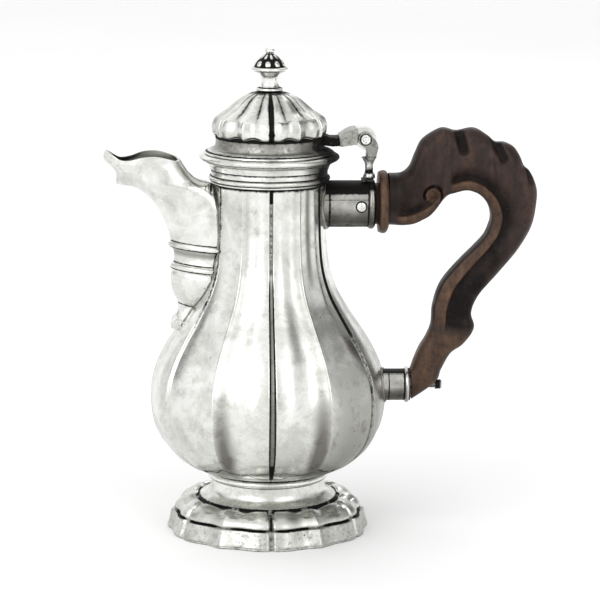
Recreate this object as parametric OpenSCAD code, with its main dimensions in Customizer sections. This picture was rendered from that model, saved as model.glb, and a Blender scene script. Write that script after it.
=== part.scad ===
// Fluted silver coffee pot with a hinged lid, a beak spout and a carved wood handle.
// The origin is the middle of the foot, on the table. The handle is on +X, the spout on -X.

/* [Body] */
// Height of the fluted body above the table, at its top edge
body_top = 152.4; // [148:0.1:156]
// Largest radius of the belly
belly_r = 51; // [49:0.1:53]
// Radius of the neck under the mouth mouldings
neck_r = 24.4; // [24:0.1:25]
// Thickness of the raised silver sheet
wall = 1; // [0.9:0.1:1.2]
// Depth of the hollows between lobe and ridge, as a part of the radius
flute_ratio = 0.042; // [0.02:0.001:0.05]
// Depth of the narrow grooves
groove_depth = 1.5; // [0.5:0.1:2]
// Half the width of a groove at its lips
groove_half = 1.45; // [1:0.05:2]

/* [Foot] */
// Largest radius of the foot at the table
foot_r = 44; // [42:0.1:46]
// Height of the upright band of the foot
foot_band_h = 8; // [6:0.1:9]
// Thickness of the flat wire soldered under the band
foot_wire_h = 1; // [0.8:0.1:1.5]

/* [Mouth and lid] */
// Inside radius of the mouth
mouth_r = 23.2; // [23:0.1:23.5]
// Height of the seat that the lid flange rests on
seat_z = 164.8; // [164:0.1:166]
// Gap between the closed lid and its seat
seat_gap = 0.1; // [0.05:0.05:0.2]
// Outside radius of the lid flange
lid_flange_r = 27.9; // [27:0.1:29]
// Height of the edge where the lid dome starts
dome_z = 172.4; // [171:0.1:174]

/* [Hinge] */
// Distance of the hinge pin from the middle of the pot
hinge_x = 41; // [40:0.1:42]
// Height of the hinge pin
hinge_z = 171.4; // [170:0.1:173]
// Width of the whole hinge
hinge_w = 11.6; // [10:0.1:13]
// Radius of the hinge pin
pin_r = 1.5; // [1:0.1:1.8]
// Radial running clearance of the lid knuckle on the pin
pin_clearance = 0.05; // [0.02:0.01:0.09]

/* [Handle] */
// Height of the middle of the upper socket
upper_z = 143; // [142:0.1:144]
// Outside radius of the upper socket
upper_r = 10.2; // [9.5:0.1:10.5]
// Height of the middle of the lower socket
lower_z = 63.2; // [62:0.1:64]
// Outside radius of the lower socket
lower_r = 7; // [6.5:0.1:7.5]
// Thickness of the handle where the fingers go round it
grip_t = 14.5; // [12:0.5:16]

/* [Hidden] */

silver = "gainsboro";
old_silver = "darkgray";
wood = "saddlebrown";
round_fn = 96;

// ---- curves -------------------------------------------------------------------------------

// A point at t of 0 to 1 between b and c, on the smooth curve through a, b, c and d.
function between(a, b, c, d, t) =
    0.5 * (2 * b + (c - a) * t + (2 * a - 5 * b + 4 * c - d) * t * t
        + (3 * b - a - 3 * c + d) * t * t * t);

// The smooth curve through the points p, with n steps from each point to the next.
function smooth(p, n) = concat(
    [for (i = [0:len(p) - 2]) for (k = [0:n - 1])
        between(p[max(i - 1, 0)], p[i], p[i + 1], p[min(i + 2, len(p) - 1)], k / n)],
    [p[len(p) - 1]]);

// 0 below a, 1 above b, and an easy slope between them.
function ease(x, a, b) =
    let (t = min(max((x - a) / (b - a), 0), 1))
    t * t * (3 - 2 * t);

// ---- the lobed section --------------------------------------------------------------------
// Six narrow grooves and six soft ridges, in turn, 30 degrees apart. A full lobe rolls away
// from each side of a groove, and a hollow lies between the lobe and the ridge. The first
// groove faces -Y, so a ridge runs down behind the spout and another behind the handle.

lobe_at = 7;
hollow_at = 19;
ridge_at = 30;

// Angle from the nearest groove, 0 to 30.
function from_groove(a) = abs((a % 60 + 60) % 60 - 30);

// How deep the hollow is at an angle from the groove, 0 to 1.
function hollow(f) =
    f < lobe_at ? 0
    : f < hollow_at ? (1 - cos(180 * (f - lobe_at) / (hollow_at - lobe_at))) / 2
    : let (u = (f - hollow_at) / (ridge_at - hollow_at))
      0.6 * cos(90 * u) + 0.2 * (1 + cos(180 * u));

// How deep the groove is at a distance along the section, 0 to 1.
function groove(d) = 1 - ease(d, 0.35 * groove_half, groove_half);

// Radius of the section at angle a, where its lobes and ridges have radius r.
function lobed(r, a, flute, cut) =
    let (f = from_groove(a))
    r - flute * hollow(f) - cut * groove(f * PI / 180 * r);

// The angles from a groove at which a section of radius r has its points.
function steps(r) =
    let (lip = groove_half / r * 180 / PI)
    [0, 0.45 * lip, lip, max(lip + 1.5, lobe_at), 13, 17.5, 22, 26.5];

// All the angles of a whole section, anticlockwise from the first groove.
function section_angles(r) =
    let (half = steps(r), n = len(half))
    [for (k = [0:5]) for (i = [0:2 * n - 1])
        -90 + 60 * k + (i < n ? half[i] : 60 - (i == n ? ridge_at : half[2 * n - i]))];

section_n = 12 * len(steps(1));

// One lobed ring of points at height z.
function ring(r, z, flute, cut) =
    [for (a = section_angles(max(r, 10)))
        let (q = lobed(r, a, flute, cut))
        [q * cos(a), q * sin(a), z]];

// ---- solids from rings --------------------------------------------------------------------

function flat(rings) = [for (ring = rings) for (p = ring) p];

// The quads from ring j to ring k, each as two triangles.
function band(j, k, n) =
    [for (i = [0:n - 1]) let (m = (i + 1) % n) each
        [[j * n + i, k * n + m, j * n + m], [j * n + i, k * n + i, k * n + m]]];

// A solid skinned over rings, with flat ends.
module skin(rings) {
    n = len(rings[0]);
    last = len(rings) - 1;
    polyhedron(flat(rings), concat(
        [for (j = [0:last - 1]) each band(j, j + 1, n)],
        [[for (i = [0:n - 1]) i], [for (i = [0:n - 1]) last * n + n - 1 - i]]));
}

// A ring-shaped solid skinned over rings, where the last ring joins the first.
module skin_round(rings) {
    n = len(rings[0]);
    count = len(rings);
    polyhedron(flat(rings), [for (j = [0:count - 1]) each band(j, (j + 1) % count, n)]);
}

module turned(profile) {
    rotate_extrude($fn = round_fn) polygon(profile);
}

module along_x(x0, x1, z, r) {
    translate([x0, 0, z]) rotate([0, 90, 0]) cylinder(h = x1 - x0, r = r, $fn = round_fn);
}

// ---- body ---------------------------------------------------------------------------------

body_low = 26;
flute_low = 29.5;
flute_full = 39;
// Outline of the body, as height and radius.
body_outline = smooth([
    [body_low, 25.2], [27.4, 31], [30.2, 36.3], [34, 41.2], [39.5, 46.1], [47, 49.6],
    [58, belly_r], [69, 49.9], [79, 46.1], [88, 40.7], [97, 34.7], [106, 29.5],
    [116, 26.2], [128, 24.8], [141, neck_r], [body_top, neck_r]], 4);
body_rings = [
    body_low, 27, 28.8, 31, 33.8, 37.2, 41.5, 47, 53, 59, 66, 73, 80, 87, 94, 101,
    108, 117, 128, 146, body_top];
window_low = 18;

function body_r(z) = lookup(z, body_outline);
function body_slope(z) = body_r(z + 0.5) - body_r(z - 0.5);
function body_flute(z) = flute_ratio * body_r(z) * ease(z, flute_low, flute_full);
function body_cut(z) = min(groove_depth, 0.045 * body_r(z)) * ease(z, flute_low - 2.5, flute_low + 4);
function body_at(z, a) = lobed(body_r(z), a, body_flute(z), body_cut(z));

function outer_ring(z) = ring(body_r(z), z, body_flute(z), body_cut(z));

// The inside follows the outside, one wall away along the outline's normal.
function inner_ring(z) =
    let (s = body_slope(z), q = wall / sqrt(1 + s * s), up = z > body_top - 1 ? 0 : q * s)
    [for (p = outer_ring(z))
        let (r = norm([p.x, p.y]))
        [p.x * (r - q) / r, p.y * (r - q) / r, z + up]];

// True for the quads of the opening behind the spout.
function in_window(j, i) =
    let (mid = section_n * 3 / 4, half = 4)
    j == window_low && i >= mid - half && i < mid + half;

module body() {
    top = len(body_rings) - 1;
    n = section_n;
    inside = (top + 1) * n;
    side = [for (i = [0:n - 1]) if (in_window(window_low, i)) i];
    left = side[0];
    right = side[len(side) - 1] + 1;
    low = window_low * n;
    high = low + n;
    color(silver)
    polyhedron(
        concat(flat([for (z = body_rings) outer_ring(z)]), flat([for (z = body_rings) inner_ring(z)])),
        concat(
            [for (j = [0:top - 1]) for (i = [0:n - 1]) if (!in_window(j, i))
                let (m = (i + 1) % n, a = j * n, b = a + n) each [
                    [a + i, b + m, a + m], [a + i, b + i, b + m],
                    [inside + a + i, inside + a + m, inside + b + m],
                    [inside + a + i, inside + b + m, inside + b + i]]],
            [for (i = [0:n - 1]) let (m = (i + 1) % n, a = top * n) each [
                [a + i, inside + a + m, a + m], [a + i, inside + a + i, inside + a + m]]],
            [for (i = side) each [
                [low + i, inside + low + i + 1, low + i + 1],
                [low + i, inside + low + i, inside + low + i + 1],
                [high + i, high + i + 1, inside + high + i + 1],
                [high + i, inside + high + i + 1, inside + high + i]]],
            [[low + left, inside + high + left, inside + low + left],
             [low + left, high + left, inside + high + left],
             [low + right, inside + low + right, inside + high + right],
             [low + right, inside + high + right, high + right]],
            [[for (i = [0:n - 1]) i], [for (i = [0:n - 1]) inside + n - 1 - i]]));
}

// ---- strainer, a pierced plate soldered inside the wall behind the spout ----------------------

strainer_r = 21.9;
strainer_t = 0.7;
strainer_half = 24;
hole_r = 1;

module strainer() {
    color(old_silver)
    difference() {
        translate([0, 0, 126])
            rotate([0, 0, 180 - strainer_half])
            rotate_extrude(angle = 2 * strainer_half, $fn = round_fn)
            translate([strainer_r - strainer_t, 0])
            square([strainer_t, 22]);
        for (row = [0:5])
            for (k = [-2:2])
                translate([0, 0, 129.5 + 3 * row])
                    rotate([0, 0, 180 + 8 * k + (row % 2) * 4 - 2])
                    rotate([0, 90, 0])
                    cylinder(h = 30, r = hole_r, $fn = 24);
    }
}

// ---- mouth mouldings ----------------------------------------------------------------------

module neck_ring() {
    color(silver)
    turned(concat(
        [[mouth_r, body_top], [24.9, body_top]],
        [for (t = [-90:30:90]) [25 + 0.35 * cos(t), body_top + 0.45 + 0.35 * sin(t)]],
        [for (t = [-90:30:90]) [25.3 + 0.9 * cos(t), 154.6 + 0.9 * sin(t)]],
        [[25.2, 156], [mouth_r, 156]]));
}

module mouth_moulding() {
    color(silver)
    turned(concat(
        [[mouth_r, 156], [25.2, 156], [25.2, 158.2]],
        smooth([[25.6, 158.3], [25.9, 159.6], [26.8, 161], [28.4, 161.9]], 4),
        [[28.6, 162.3], [29.5, 162.5]],
        [for (t = [-60:20:60]) [29.2 + 0.95 * cos(t), 163.5 + 0.95 * sin(t)]],
        [[29, seat_z], [mouth_r, seat_z]]));
}

// ---- foot ---------------------------------------------------------------------------------

spool_top = 22.4;
spool_low = 14.8;

module foot_collar() {
    color(silver)
    turned(concat(
        [[22.5, spool_top], [25, spool_top]],
        [for (t = [-90:15:90]) [24.9 + 1.5 * cos(t), 24.2 + 1.6 * sin(t)]],
        [[25, body_low], [22.5, body_low]]));
}

module foot_spool() {
    outside = smooth([[31.2, spool_low], [28.4, 15.4], [26.1, 16.8], [25.1, 18.8], [24.8, spool_top]], 4);
    inside = [for (k = [len(outside) - 1:-1:0]) outside[k] - [1.2, 0]];
    color(silver) turned(concat(outside, inside));
}

// Foot sections have the same lobes as the body, but shallower.
function foot_ring(r, z, depth) = ring(r, z, 1.2 * depth, 1.1 * depth);

// A foot shell round a closed outline of radius, height and depth of the lobes, clockwise.
module foot_shell(outline) {
    skin_round([for (k = [len(outline) - 1:-1:0])
        foot_ring(outline[k][0], outline[k][1], outline[k][2])]);
}

module foot_cushion() {
    // Radius, height and depth of the lobes, from the inner edge out and down.
    outside = [
        [29.8, spool_low, 0], [31.4, spool_low, 0], [33.2, 14.5, 0.5], [35.8, 13.7, 1],
        [38.3, 12.3, 1], [40, 10.5, 1], [40.6, 9, 1], [40.6, foot_band_h, 1]];
    inside = [
        [39.3, foot_band_h, 1], [39.3, 9, 1], [38.7, 10, 1], [37.4, 11.3, 1], [35.2, 12.5, 1],
        [29.8, 13.5, 0]];
    color(silver) foot_shell(concat(outside, inside));
}

module foot_band() {
    outside = [
        [40.6, foot_band_h, 1], [42, foot_band_h, 1], [42.4, foot_band_h - 0.5, 1],
        [42.9, 5, 1], [43.6, 2.5, 1], [foot_r, foot_wire_h + 0.5, 1], [foot_r, foot_wire_h, 1]];
    inside = [
        [42.4, foot_wire_h, 1], [42.1, 2.5, 1], [41.3, 5, 1], [40.4, 7, 1], [39.3, foot_band_h, 1]];
    color(silver) foot_shell(concat(outside, inside));
}

module foot_wire() {
    color(silver)
    difference() {
        linear_extrude(foot_wire_h)
            polygon([for (p = foot_ring(foot_r, 0, 1)) [p.x, p.y]]);
        translate([0, 0, -1]) cylinder(h = foot_wire_h + 2, r = 40, $fn = round_fn);
    }
}

// ---- spout --------------------------------------------------------------------------------
// Each station of the spout is a plane that runs from the keel, in front, to the rear edge.
// Above the body the two sides close over in a ridge. Lower down they end on the body.

beak_wall = 1.2;
beak_side_n = 8;
seat_bite = 0.35;
neck_seam = 10.9;

// Place of a seam point on the body, at height z and at most e from the middle plane.
function seam(z, e) =
    let (a = asin(min(e / body_r(z), 1)), q = body_at(z, 180 - a) - seat_bite)
    [-q * cos(a), q * sin(a), z];

// Half width across a station at f from keel to rear, for half width w and rear half width e.
function across(f, w, e, full_at, round) =
    f <= full_at ? w * pow(sin(90 * f / full_at), round)
    : e + (w - e) * pow(cos(90 * (f - full_at) / (1 - full_at)), round);

// Height of the mouth's wavy edge over a straight line from tip to rear corner.
function lip_wave(f) =
    lookup(f, smooth([[0, 0], [0.1, -2], [0.19, -2.9], [0.33, -2], [0.47, -0.1],
        [0.61, 1], [0.72, 1.3], [0.86, 0.8], [1, 0]], 4));

// Points from the rear on the near side, round the keel, to the rear on the far side.
// A station is [keel x, keel z, rear point, half width, place of full width, lip, roundness].
function station(s, inset) =
    let (
        keel = [s[0], 0, s[1]],
        rear = s[2],
        span = [rear.x, 0, rear.z] - keel,
        way = span / norm(span),
        open = rear.y > 0,
        start = keel + way * inset,
        stop = [rear.x, 0, rear.z] - way * (open ? 0 : inset),
        w = s[3] - inset,
        e = open ? max(rear.y - inset, 0.3) : 0)
    [for (i = [-beak_side_n:beak_side_n])
        let (
            f = abs(i) / beak_side_n,
            g = f * (0.55 + 0.45 * f),
            p = start + (stop - start) * g,
            y = across(g, w, e, s[4], s[6]))
        [p.x, sign(i) * y, p.z + s[5] * lip_wave(g)]];

// The skin of stations, open at the rear from station split on. Its ends are open loops.
module beak(stations, split) {
    n = 2 * beak_side_n + 1;
    count = len(stations);
    inside = count * n;
    function at(j, i) = j * n + (i == n - 1 && j <= split ? 0 : i);
    function quad(a, b, c, d) = [[a, c, b], [a, d, c]];
    points = concat(
        flat([for (s = stations) station(s, 0)]),
        flat([for (s = stations) station(s, beak_wall)]));
    polyhedron(points, concat(
        [for (j = [0:count - 2]) for (i = [0:n - 2]) each concat(
            quad(at(j, i), at(j, i + 1), at(j + 1, i + 1), at(j + 1, i)),
            quad(inside + at(j, i + 1), inside + at(j, i), inside + at(j + 1, i),
                inside + at(j + 1, i + 1)))],
        [for (i = [0:n - 2]) each quad(inside + at(0, i), inside + at(0, i + 1), at(0, i + 1), at(0, i))],
        [for (i = [0:n - 2]) each quad(
            at(count - 1, i), at(count - 1, i + 1),
            inside + at(count - 1, i + 1), inside + at(count - 1, i))],
        [for (j = [0:count - 2]) if (j >= split) each concat(
            quad(at(j, 0), at(j + 1, 0), inside + at(j + 1, 0), inside + at(j, 0)),
            j == split
                ? [[at(j, n - 1), at(j + 1, n - 1), inside + at(j + 1, n - 1)],
                   [at(j, n - 1), inside + at(j + 1, n - 1), inside + at(j, n - 1)]]
                : quad(inside + at(j, n - 1), inside + at(j + 1, n - 1), at(j + 1, n - 1), at(j, n - 1)))]));
}

module spout() {
    color(silver)
    beak([
        [-70.2, 166.3, [-38, 0, 161.9], 11.6, 0.58, 1, 0.9],
        [-71.1, 163.2, [-37.4, 0, 160.8], 11.6, 0.57, 0.75, 0.85],
        [-70, 161.2, [-36.9, 0, 159.9], 11.6, 0.56, 0.5, 0.8],
        [-67.4, 159, [-36, 0, 158.6], 11.6, 0.55, 0.25, 0.8],
        [-65.6, 156, [-35, 0, 157.2], 11.7, 0.55, 0.1, 0.8],
        [-65.4, 151.6, [-32.4, 0, 154.7], 11.7, 0.55, 0, 0.8],
        [-60.5, 151, [-29.6, 0, 153], 11.6, 0.56, 0, 0.8],
        [-55.2, 148.7, seam(151.5, 0), 11.5, 0.6, 0, 0.75],
        [-50.6, 145, seam(148.5, 5.5), 11.4, 0.68, 0, 0.7],
        [-47.2, 140.2, seam(143.5, 9.3), 11.3, 0.76, 0, 0.65],
        [-44.6, 135, seam(137, 10.5), 11.2, 0.84, 0, 0.62],
        [-43, 130.2, seam(130, neck_seam), 11.1, 0.92, 0, 0.6],
        [-42.3, 127, seam(125.4, neck_seam), neck_seam, 1, 0, 0.6]], 7);
}

module spout_drop() {
    // Keel x and z, seam z and half width, down from the joint with the spout.
    outline = [
        [-42.4, 127, 125.4, 11], [-43.3, 126.3, 124.6, 11.9], [-43.3, 124.9, 123.1, 11.9],
        [-41.4, 123.4, 121.7, 10.7], [-40.9, 120.6, 119, 10.2], [-41.3, 117.8, 116.3, 10.6],
        [-42.4, 116.9, 115.3, 11.5], [-42.4, 115.3, 113.6, 11.5], [-41.7, 114.3, 112.7, 10.9],
        [-42.3, 112.2, 110.8, 11.3], [-42.2, 108.6, 107.4, 10.6], [-41.3, 104.4, 103.4, 9],
        [-39.8, 101.3, 100.3, 6.4], [-39.2, 99.4, 98.6, 4.8], [-39.5, 96.6, 96, 4.5],
        [-40.9, 93.2, 92.8, 4.3], [-41.6, 90.6, 90.6, 3.6], [-41.4, 89.2, 89.2, 2.4]];
    color(silver)
    beak([for (p = outline) [p[0], p[1], seam(p[2], p[3]), p[3], 1, 0, 0.6]], -1);
}

// ---- handle sockets -----------------------------------------------------------------------

socket_wall = 1.2;
upper_end = 42.4;
lower_end = 59;
rivet_x = 39.2;
rivet_r = 1.4;

module upper_socket() {
    color(old_silver)
    difference() {
        along_x(20, upper_end, upper_z, upper_r);
        along_x(19, upper_end + 1, upper_z, upper_r - socket_wall);
        translate([0, 0, upper_z - 15]) cylinder(h = 30, r = neck_r - 1, $fn = round_fn);
        translate([rivet_x, 0, upper_z])
            rotate([90, 0, 0])
            cylinder(h = 40, r = rivet_r, center = true, $fn = 48);
    }
}

module upper_socket_collar() {
    color(old_silver)
    translate([upper_end, 0, upper_z])
        rotate([0, 90, 0])
        turned(concat(
            [[upper_r - socket_wall, 0], [upper_r, 0]],
            [for (t = [-70:20:70]) [upper_r - 0.4 + 1.1 * cos(t), 1.5 + 1.5 * sin(t)]],
            [[upper_r - 0.2, 3], [upper_r - socket_wall, 3]]));
}

module upper_socket_pin() {
    half = upper_r + 0.05;
    color(silver)
    translate([rivet_x, 0, upper_z])
        rotate([90, 0, 0])
        turned(concat(
            [[0, -half - 0.9]],
            [for (t = [-60:20:0]) [2.1 * cos(t), -half + 0.9 * sin(t)]],
            [[rivet_r, -half], [rivet_r, half]],
            [for (t = [0:20:60]) [2.1 * cos(t), half + 0.9 * sin(t)]],
            [[0, half + 0.9]]));
}

module lower_socket() {
    color(old_silver)
    difference() {
        along_x(47, lower_end, lower_z, lower_r);
        along_x(46, lower_end + 1, lower_z, lower_r - socket_wall);
        translate([0, 0, lower_z])
            cylinder(h = 30, r = belly_r - 1.05, center = true, $fn = round_fn);
    }
}

module lower_socket_collar() {
    color(old_silver)
    translate([lower_end, 0, lower_z])
        rotate([0, 90, 0])
        turned(concat(
            [[lower_r - socket_wall, 0], [lower_r, 0]],
            [for (t = [-70:20:70]) [lower_r - 0.3 + 1.2 * cos(t), 1.35 + 1.35 * sin(t)]],
            [[lower_r - 0.2, 2.7], [lower_r - socket_wall, 2.7]]));
}

// ---- handle -------------------------------------------------------------------------------

tenon_gap = 0.1;
flange_x = 47;
bolt_r = 1.6;
bolt_head = 72.9;
handle_side_n = 16;
// Stations of the carved handle, from the flange over the crest and down to the heel:
// outer x and z, inner x and z, and thickness as a part of the grip's.
handle_line = smooth([
    [51.4, 156.2, 51.4, 134, 1.35], [56.9, 156.8, 57.1, 133.9, 1.2], [60.3, 159.8, 62, 134.4, 1.1],
    [62.6, 165.5, 66, 136, 1.05], [66, 171.8, 70, 138.5, 1], [73.8, 176.2, 75.6, 145.3, 1],
    [80, 175.1, 79.5, 147.7, 1], [87.5, 176.2, 85, 149, 1], [93.4, 173.2, 89.2, 147.9, 1],
    [97, 170.3, 91.6, 146.3, 1], [101, 170, 93.2, 144.5, 1], [105.3, 167.8, 94.4, 142.8, 1],
    [108.2, 163.6, 95.2, 141, 1], [109.9, 159.7, 95.6, 139.4, 1], [112.4, 157.3, 95.8, 137.8, 1],
    [114.9, 152.4, 95.7, 136.2, 1], [115.9, 146, 95.3, 134.4, 1], [114, 134.1, 93.2, 129.5, 1], [108.5, 123.6, 88.8, 124.5, 0.98],
    [100.1, 113.1, 81.6, 117.2, 0.96], [91.5, 103, 74.6, 108.4, 0.94],
    [88.3, 95, 71.3, 99, 0.92], [89.6, 88.4, 70.6, 91, 0.9], [85, 81.6, 68.2, 84.8, 0.9],
    [79.4, 77.4, 65.4, 80, 0.88], [75.4, 70.3, 63, 74.2, 0.86], [72.8, 64.4, 62.1, 71.4, 0.84],
    [62.4, 56.9, 61.9, 70.7, 0.84]], 2);

// A rounded-square ring of the handle.
function handle_ring(s) =
    let (
        outer = [s[0], 0, s[1]],
        inner = [s[2], 0, s[3]],
        middle = (outer + inner) / 2,
        reach = (outer - inner) / 2,
        half = s[4] * grip_t / 2)
    [for (i = [0:handle_side_n - 1])
        let (t = -360 * i / handle_side_n, c = cos(t), d = sin(t))
        middle + reach * sign(c) * pow(abs(c), 0.7) + [0, half * sign(d) * pow(abs(d), 0.7), 0]];

module handle() {
    color(wood)
    difference() {
        union() {
            skin([for (s = handle_line) handle_ring(s)]);
            translate([flange_x, 0, upper_z + 0.8])
                rotate([0, 90, 0])
                turned([[0, 0], [12.2, 0], [13.5, 1], [13.7, 2.2], [13.3, 3.4], [11.6, 4.6], [0, 4.6]]);
            along_x(26, flange_x + 1, upper_z, upper_r - socket_wall - tenon_gap);
            along_x(53, 62.6, lower_z, lower_r - socket_wall - tenon_gap);
        }
        translate([rivet_x, 0, upper_z])
            rotate([90, 0, 0])
            cylinder(h = 40, r = rivet_r, center = true, $fn = 48);
        along_x(50, bolt_head + 3, lower_z, bolt_r);
    }
}

module handle_bolt() {
    color(old_silver)
    union() {
        along_x(52, bolt_head, lower_z, bolt_r);
        translate([bolt_head, 0, lower_z])
            rotate([0, 90, 0])
            turned([[0, 0], [2.1, 0], [2.2, 0.4], [2.2, 2.3], [1.8, 2.8], [0, 2.8]]);
    }
}

module handle_nut() {
    color(old_silver)
    difference() {
        along_x(51.2, 52.9, lower_z, lower_r - socket_wall - tenon_gap);
        along_x(51, 53, lower_z, bolt_r);
    }
}

// ---- hinge --------------------------------------------------------------------------------

knuckle_r = 3.2;
tongue_r = 4.8;
tongue_w = 5.4;
hinge_gap = 0.3;
post_low = 154;
saddle_w = 9;
lug_w = (hinge_w - tongue_w) / 2 - hinge_gap;

// The outline of a flat piece in the middle plane, made w wide and centred at y.
module plate(w, y = 0) {
    translate([0, y + w / 2, 0]) rotate([90, 0, 0]) linear_extrude(w) children();
}

module hinge_saddle() {
    color(old_silver)
    difference() {
        translate([39.6, -saddle_w / 2, upper_z + 6]) cube([5.6, saddle_w, post_low - upper_z - 6]);
        along_x(30, upper_end, upper_z, upper_r);
        along_x(upper_end - 1, 60, upper_z, upper_r + 0.75);
    }
}

module hinge_bracket() {
    color(silver)
    difference() {
        union() {
            // Two lugs, one on each side of the lid's tongue
            for (side = [-1, 1])
                plate(lug_w, side * (hinge_w - lug_w) / 2) {
                    translate([hinge_x, hinge_z]) circle(r = knuckle_r, $fn = round_fn);
                    polygon([
                        [hinge_x - 1.5, hinge_z - 2.8], [hinge_x + 3.1, hinge_z + 0.8],
                        [hinge_x + 5.4, hinge_z - 3.2], [hinge_x + 4.6, 164],
                        [hinge_x + 0.8, 164], [hinge_x + 0.4, 166.8]]);
                }
            // Web behind the tongue, and the post
            plate(hinge_w)
                polygon([
                    [hinge_x + 5.4, hinge_z - 3.2], [hinge_x + 4.6, 164], [hinge_x + 3.9, 162.5],
                    [hinge_x + 0.7, 162.5], [hinge_x + 0.7, 164.4], [hinge_x + 0.9, 165.8],
                    [hinge_x + 4, 167.3]]);
            translate([42.9, 0, post_low + 2]) cylinder(h = 7.2, r1 = 2, r2 = 2.4, $fn = 48);
            translate([42.9, 0, post_low])
                turned([[0, 0], [2.4, 0], [2.75, 0.6], [2.75, 1.5], [2.2, 2.1], [0, 2.1]]);
        }
        translate([hinge_x, 0, hinge_z])
            rotate([90, 0, 0])
            cylinder(h = 40, r = pin_r, center = true, $fn = round_fn);
        translate([hinge_x, 0, hinge_z])
            rotate([90, 0, 0])
            cylinder(h = tongue_w + 2 * hinge_gap, r = tongue_r + 0.4, center = true, $fn = round_fn);
    }
}

module hinge_pin() {
    half = hinge_w / 2;
    color(silver)
    translate([hinge_x, 0, hinge_z])
        rotate([90, 0, 0])
        turned([
            [0, -half - 0.9], [1.9, -half - 0.9], [2.3, -half - 0.5], [2.3, -half], [pin_r, -half],
            [pin_r, half], [2.3, half], [2.3, half + 0.5], [1.9, half + 0.9], [0, half + 0.9]]);
}

module lid_hinge_arm() {
    shoulder = hinge_x - knuckle_r - hinge_gap;
    top = hinge_z + tongue_r;
    color(silver)
    difference() {
        union() {
            // Strap and block
            plate(hinge_w)
                polygon(concat(
                    [[22, 168.6], [27, 168.2], [shoulder, 169.2], [shoulder, top]],
                    smooth([[shoulder - 2, top - 0.2], [shoulder - 5, top - 1.3],
                        [shoulder - 8.5, top - 3.2], [26, 172.4], [24.2, 173.4]], 3),
                    [[22, 173.4]]));
            // Tongue round the pin
            plate(tongue_w) {
                translate([hinge_x, hinge_z]) circle(r = tongue_r, $fn = round_fn);
                polygon([[shoulder - 1, 169.2], [hinge_x, hinge_z - tongue_r], [hinge_x, top],
                    [shoulder - 1, top]]);
            }
        }
        translate([hinge_x, 0, hinge_z])
            rotate([90, 0, 0])
            cylinder(h = 40, r = pin_r + pin_clearance, center = true, $fn = round_fn);
        translate([0, 0, 160]) cylinder(h = 20, r = 23.1, $fn = round_fn);
    }
}

// ---- lid ----------------------------------------------------------------------------------

lid_low = seat_z + seat_gap;
dome_wall = 1;
stem_r = 1.6;

module lid_flange() {
    color(silver)
    turned(concat(
        [[20.6, lid_low], [lid_flange_r - 0.4, lid_low], [lid_flange_r, lid_low + 0.5],
            [lid_flange_r - 0.3, lid_low + 1], [26.9, lid_low + 1.2], [26.6, lid_low + 1.7],
            [25.7, lid_low + 1.8]],
        smooth([[25.3, 166.9], [24, 167.5], [23.3, 168.8], [23.1, 170.4], [23.2, dome_z]], 3),
        [[21.4, dome_z], [21.4, 169], [20.6, 168]]));
}

module lid_bezel() {
    color(silver)
    turned([[20.6, 160], [21.6, 160], [22.3, 161], [22.5, lid_low], [20.6, lid_low]]);
}

// Height and radius of the dome, from its lower edge to the finial.
dome_outline = smooth([
    [dome_z + 0.5, 24], [174.2, 24.7], [176.2, 24.9], [178.6, 24.5], [180.6, 23.4], [182.2, 21.2],
    [184, 18.4], [186.4, 15.6], [188.6, 12.9], [190.2, 10], [191.3, 6.4], [191.7, stem_r]], 1);

function dome_ring(r, z) =
    let (fade = ease(r, 4, 10))
    ring(r, z, 0.055 * r * fade, min(1.3, 0.07 * r) * fade);

module lid_dome() {
    outside = [for (p = dome_outline) dome_ring(p[1], p[0])];
    inside = [for (k = [len(dome_outline) - 1:-2:1])
        let (p = dome_outline[k], q = p[1] > stem_r ? p[1] - dome_wall : stem_r)
        dome_ring(q, min(p[0] - dome_wall, 190.6) - (k == len(dome_outline) - 1 ? 0 : 0.2))];
    edge = [
        ring(21.4, 174.4, 0, 0),
        ring(21.4, dome_z, 0, 0),
        ring(23, dome_z, 0, 0)];
    color(silver) skin_round(concat(outside, inside, edge));
}

module finial() {
    color(old_silver)
    turned(concat(
        [[0, 187], [stem_r, 187], [stem_r, 191.7], [5, 191.7]],
        [for (t = [-80:40:80]) [5.1 + 0.7 * cos(t), 192.4 + 0.7 * sin(t)]],
        smooth([[4.6, 193.4], [3.8, 194.6], [3.6, 196.2], [4.1, 198], [5.6, 199.5], [6.9, 200.3]], 3),
        [for (t = [-60:30:60]) [7.2 + 0.7 * cos(t), 201.3 + 0.7 * sin(t)]],
        smooth([[7, 202.2], [6.3, 203.6], [5, 205.1], [3.2, 206.6], [1.9, 207.5]], 3),
        [for (t = [-50:25:90]) [1.2 + 0.9 * cos(t), 208.9 + 1.1 * sin(t)]],
        [[0, 210]]));
}

module finial_washer() {
    color(old_silver)
    translate([0, 0, 189.1])
        difference() {
            cylinder(h = 0.7, r = 4, $fn = 48);
            translate([0, 0, -1]) cylinder(h = 3, r = stem_r, $fn = 48);
        }
}

module finial_nut() {
    color(old_silver)
    translate([0, 0, 187.3])
        difference() {
            translate([-3, -3, 0]) cube([6, 6, 1.8]);
            translate([0, 0, -1]) cylinder(h = 4, r = stem_r, $fn = 48);
        }
}

// ---- parts --------------------------------------------------------------------------------

body();
strainer();
neck_ring();
mouth_moulding();
foot_collar();
foot_spool();
foot_cushion();
foot_band();
foot_wire();
spout();
spout_drop();
upper_socket();
upper_socket_collar();
upper_socket_pin();
lower_socket();
lower_socket_collar();
handle();
handle_bolt();
handle_nut();
hinge_saddle();
hinge_bracket();
hinge_pin();
lid_dome();
lid_flange();
lid_bezel();
lid_hinge_arm();
finial();
finial_washer();
finial_nut();
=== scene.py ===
"""Looks of a fluted silver coffee pot with a hinged lid and a carved wood handle.

Lengths in this script are millimetres in the frame's own axes, until a mesh or an object is made.
The handle is on +X, the spout on -X, and the first groove of the body faces -Y.
"""

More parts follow.
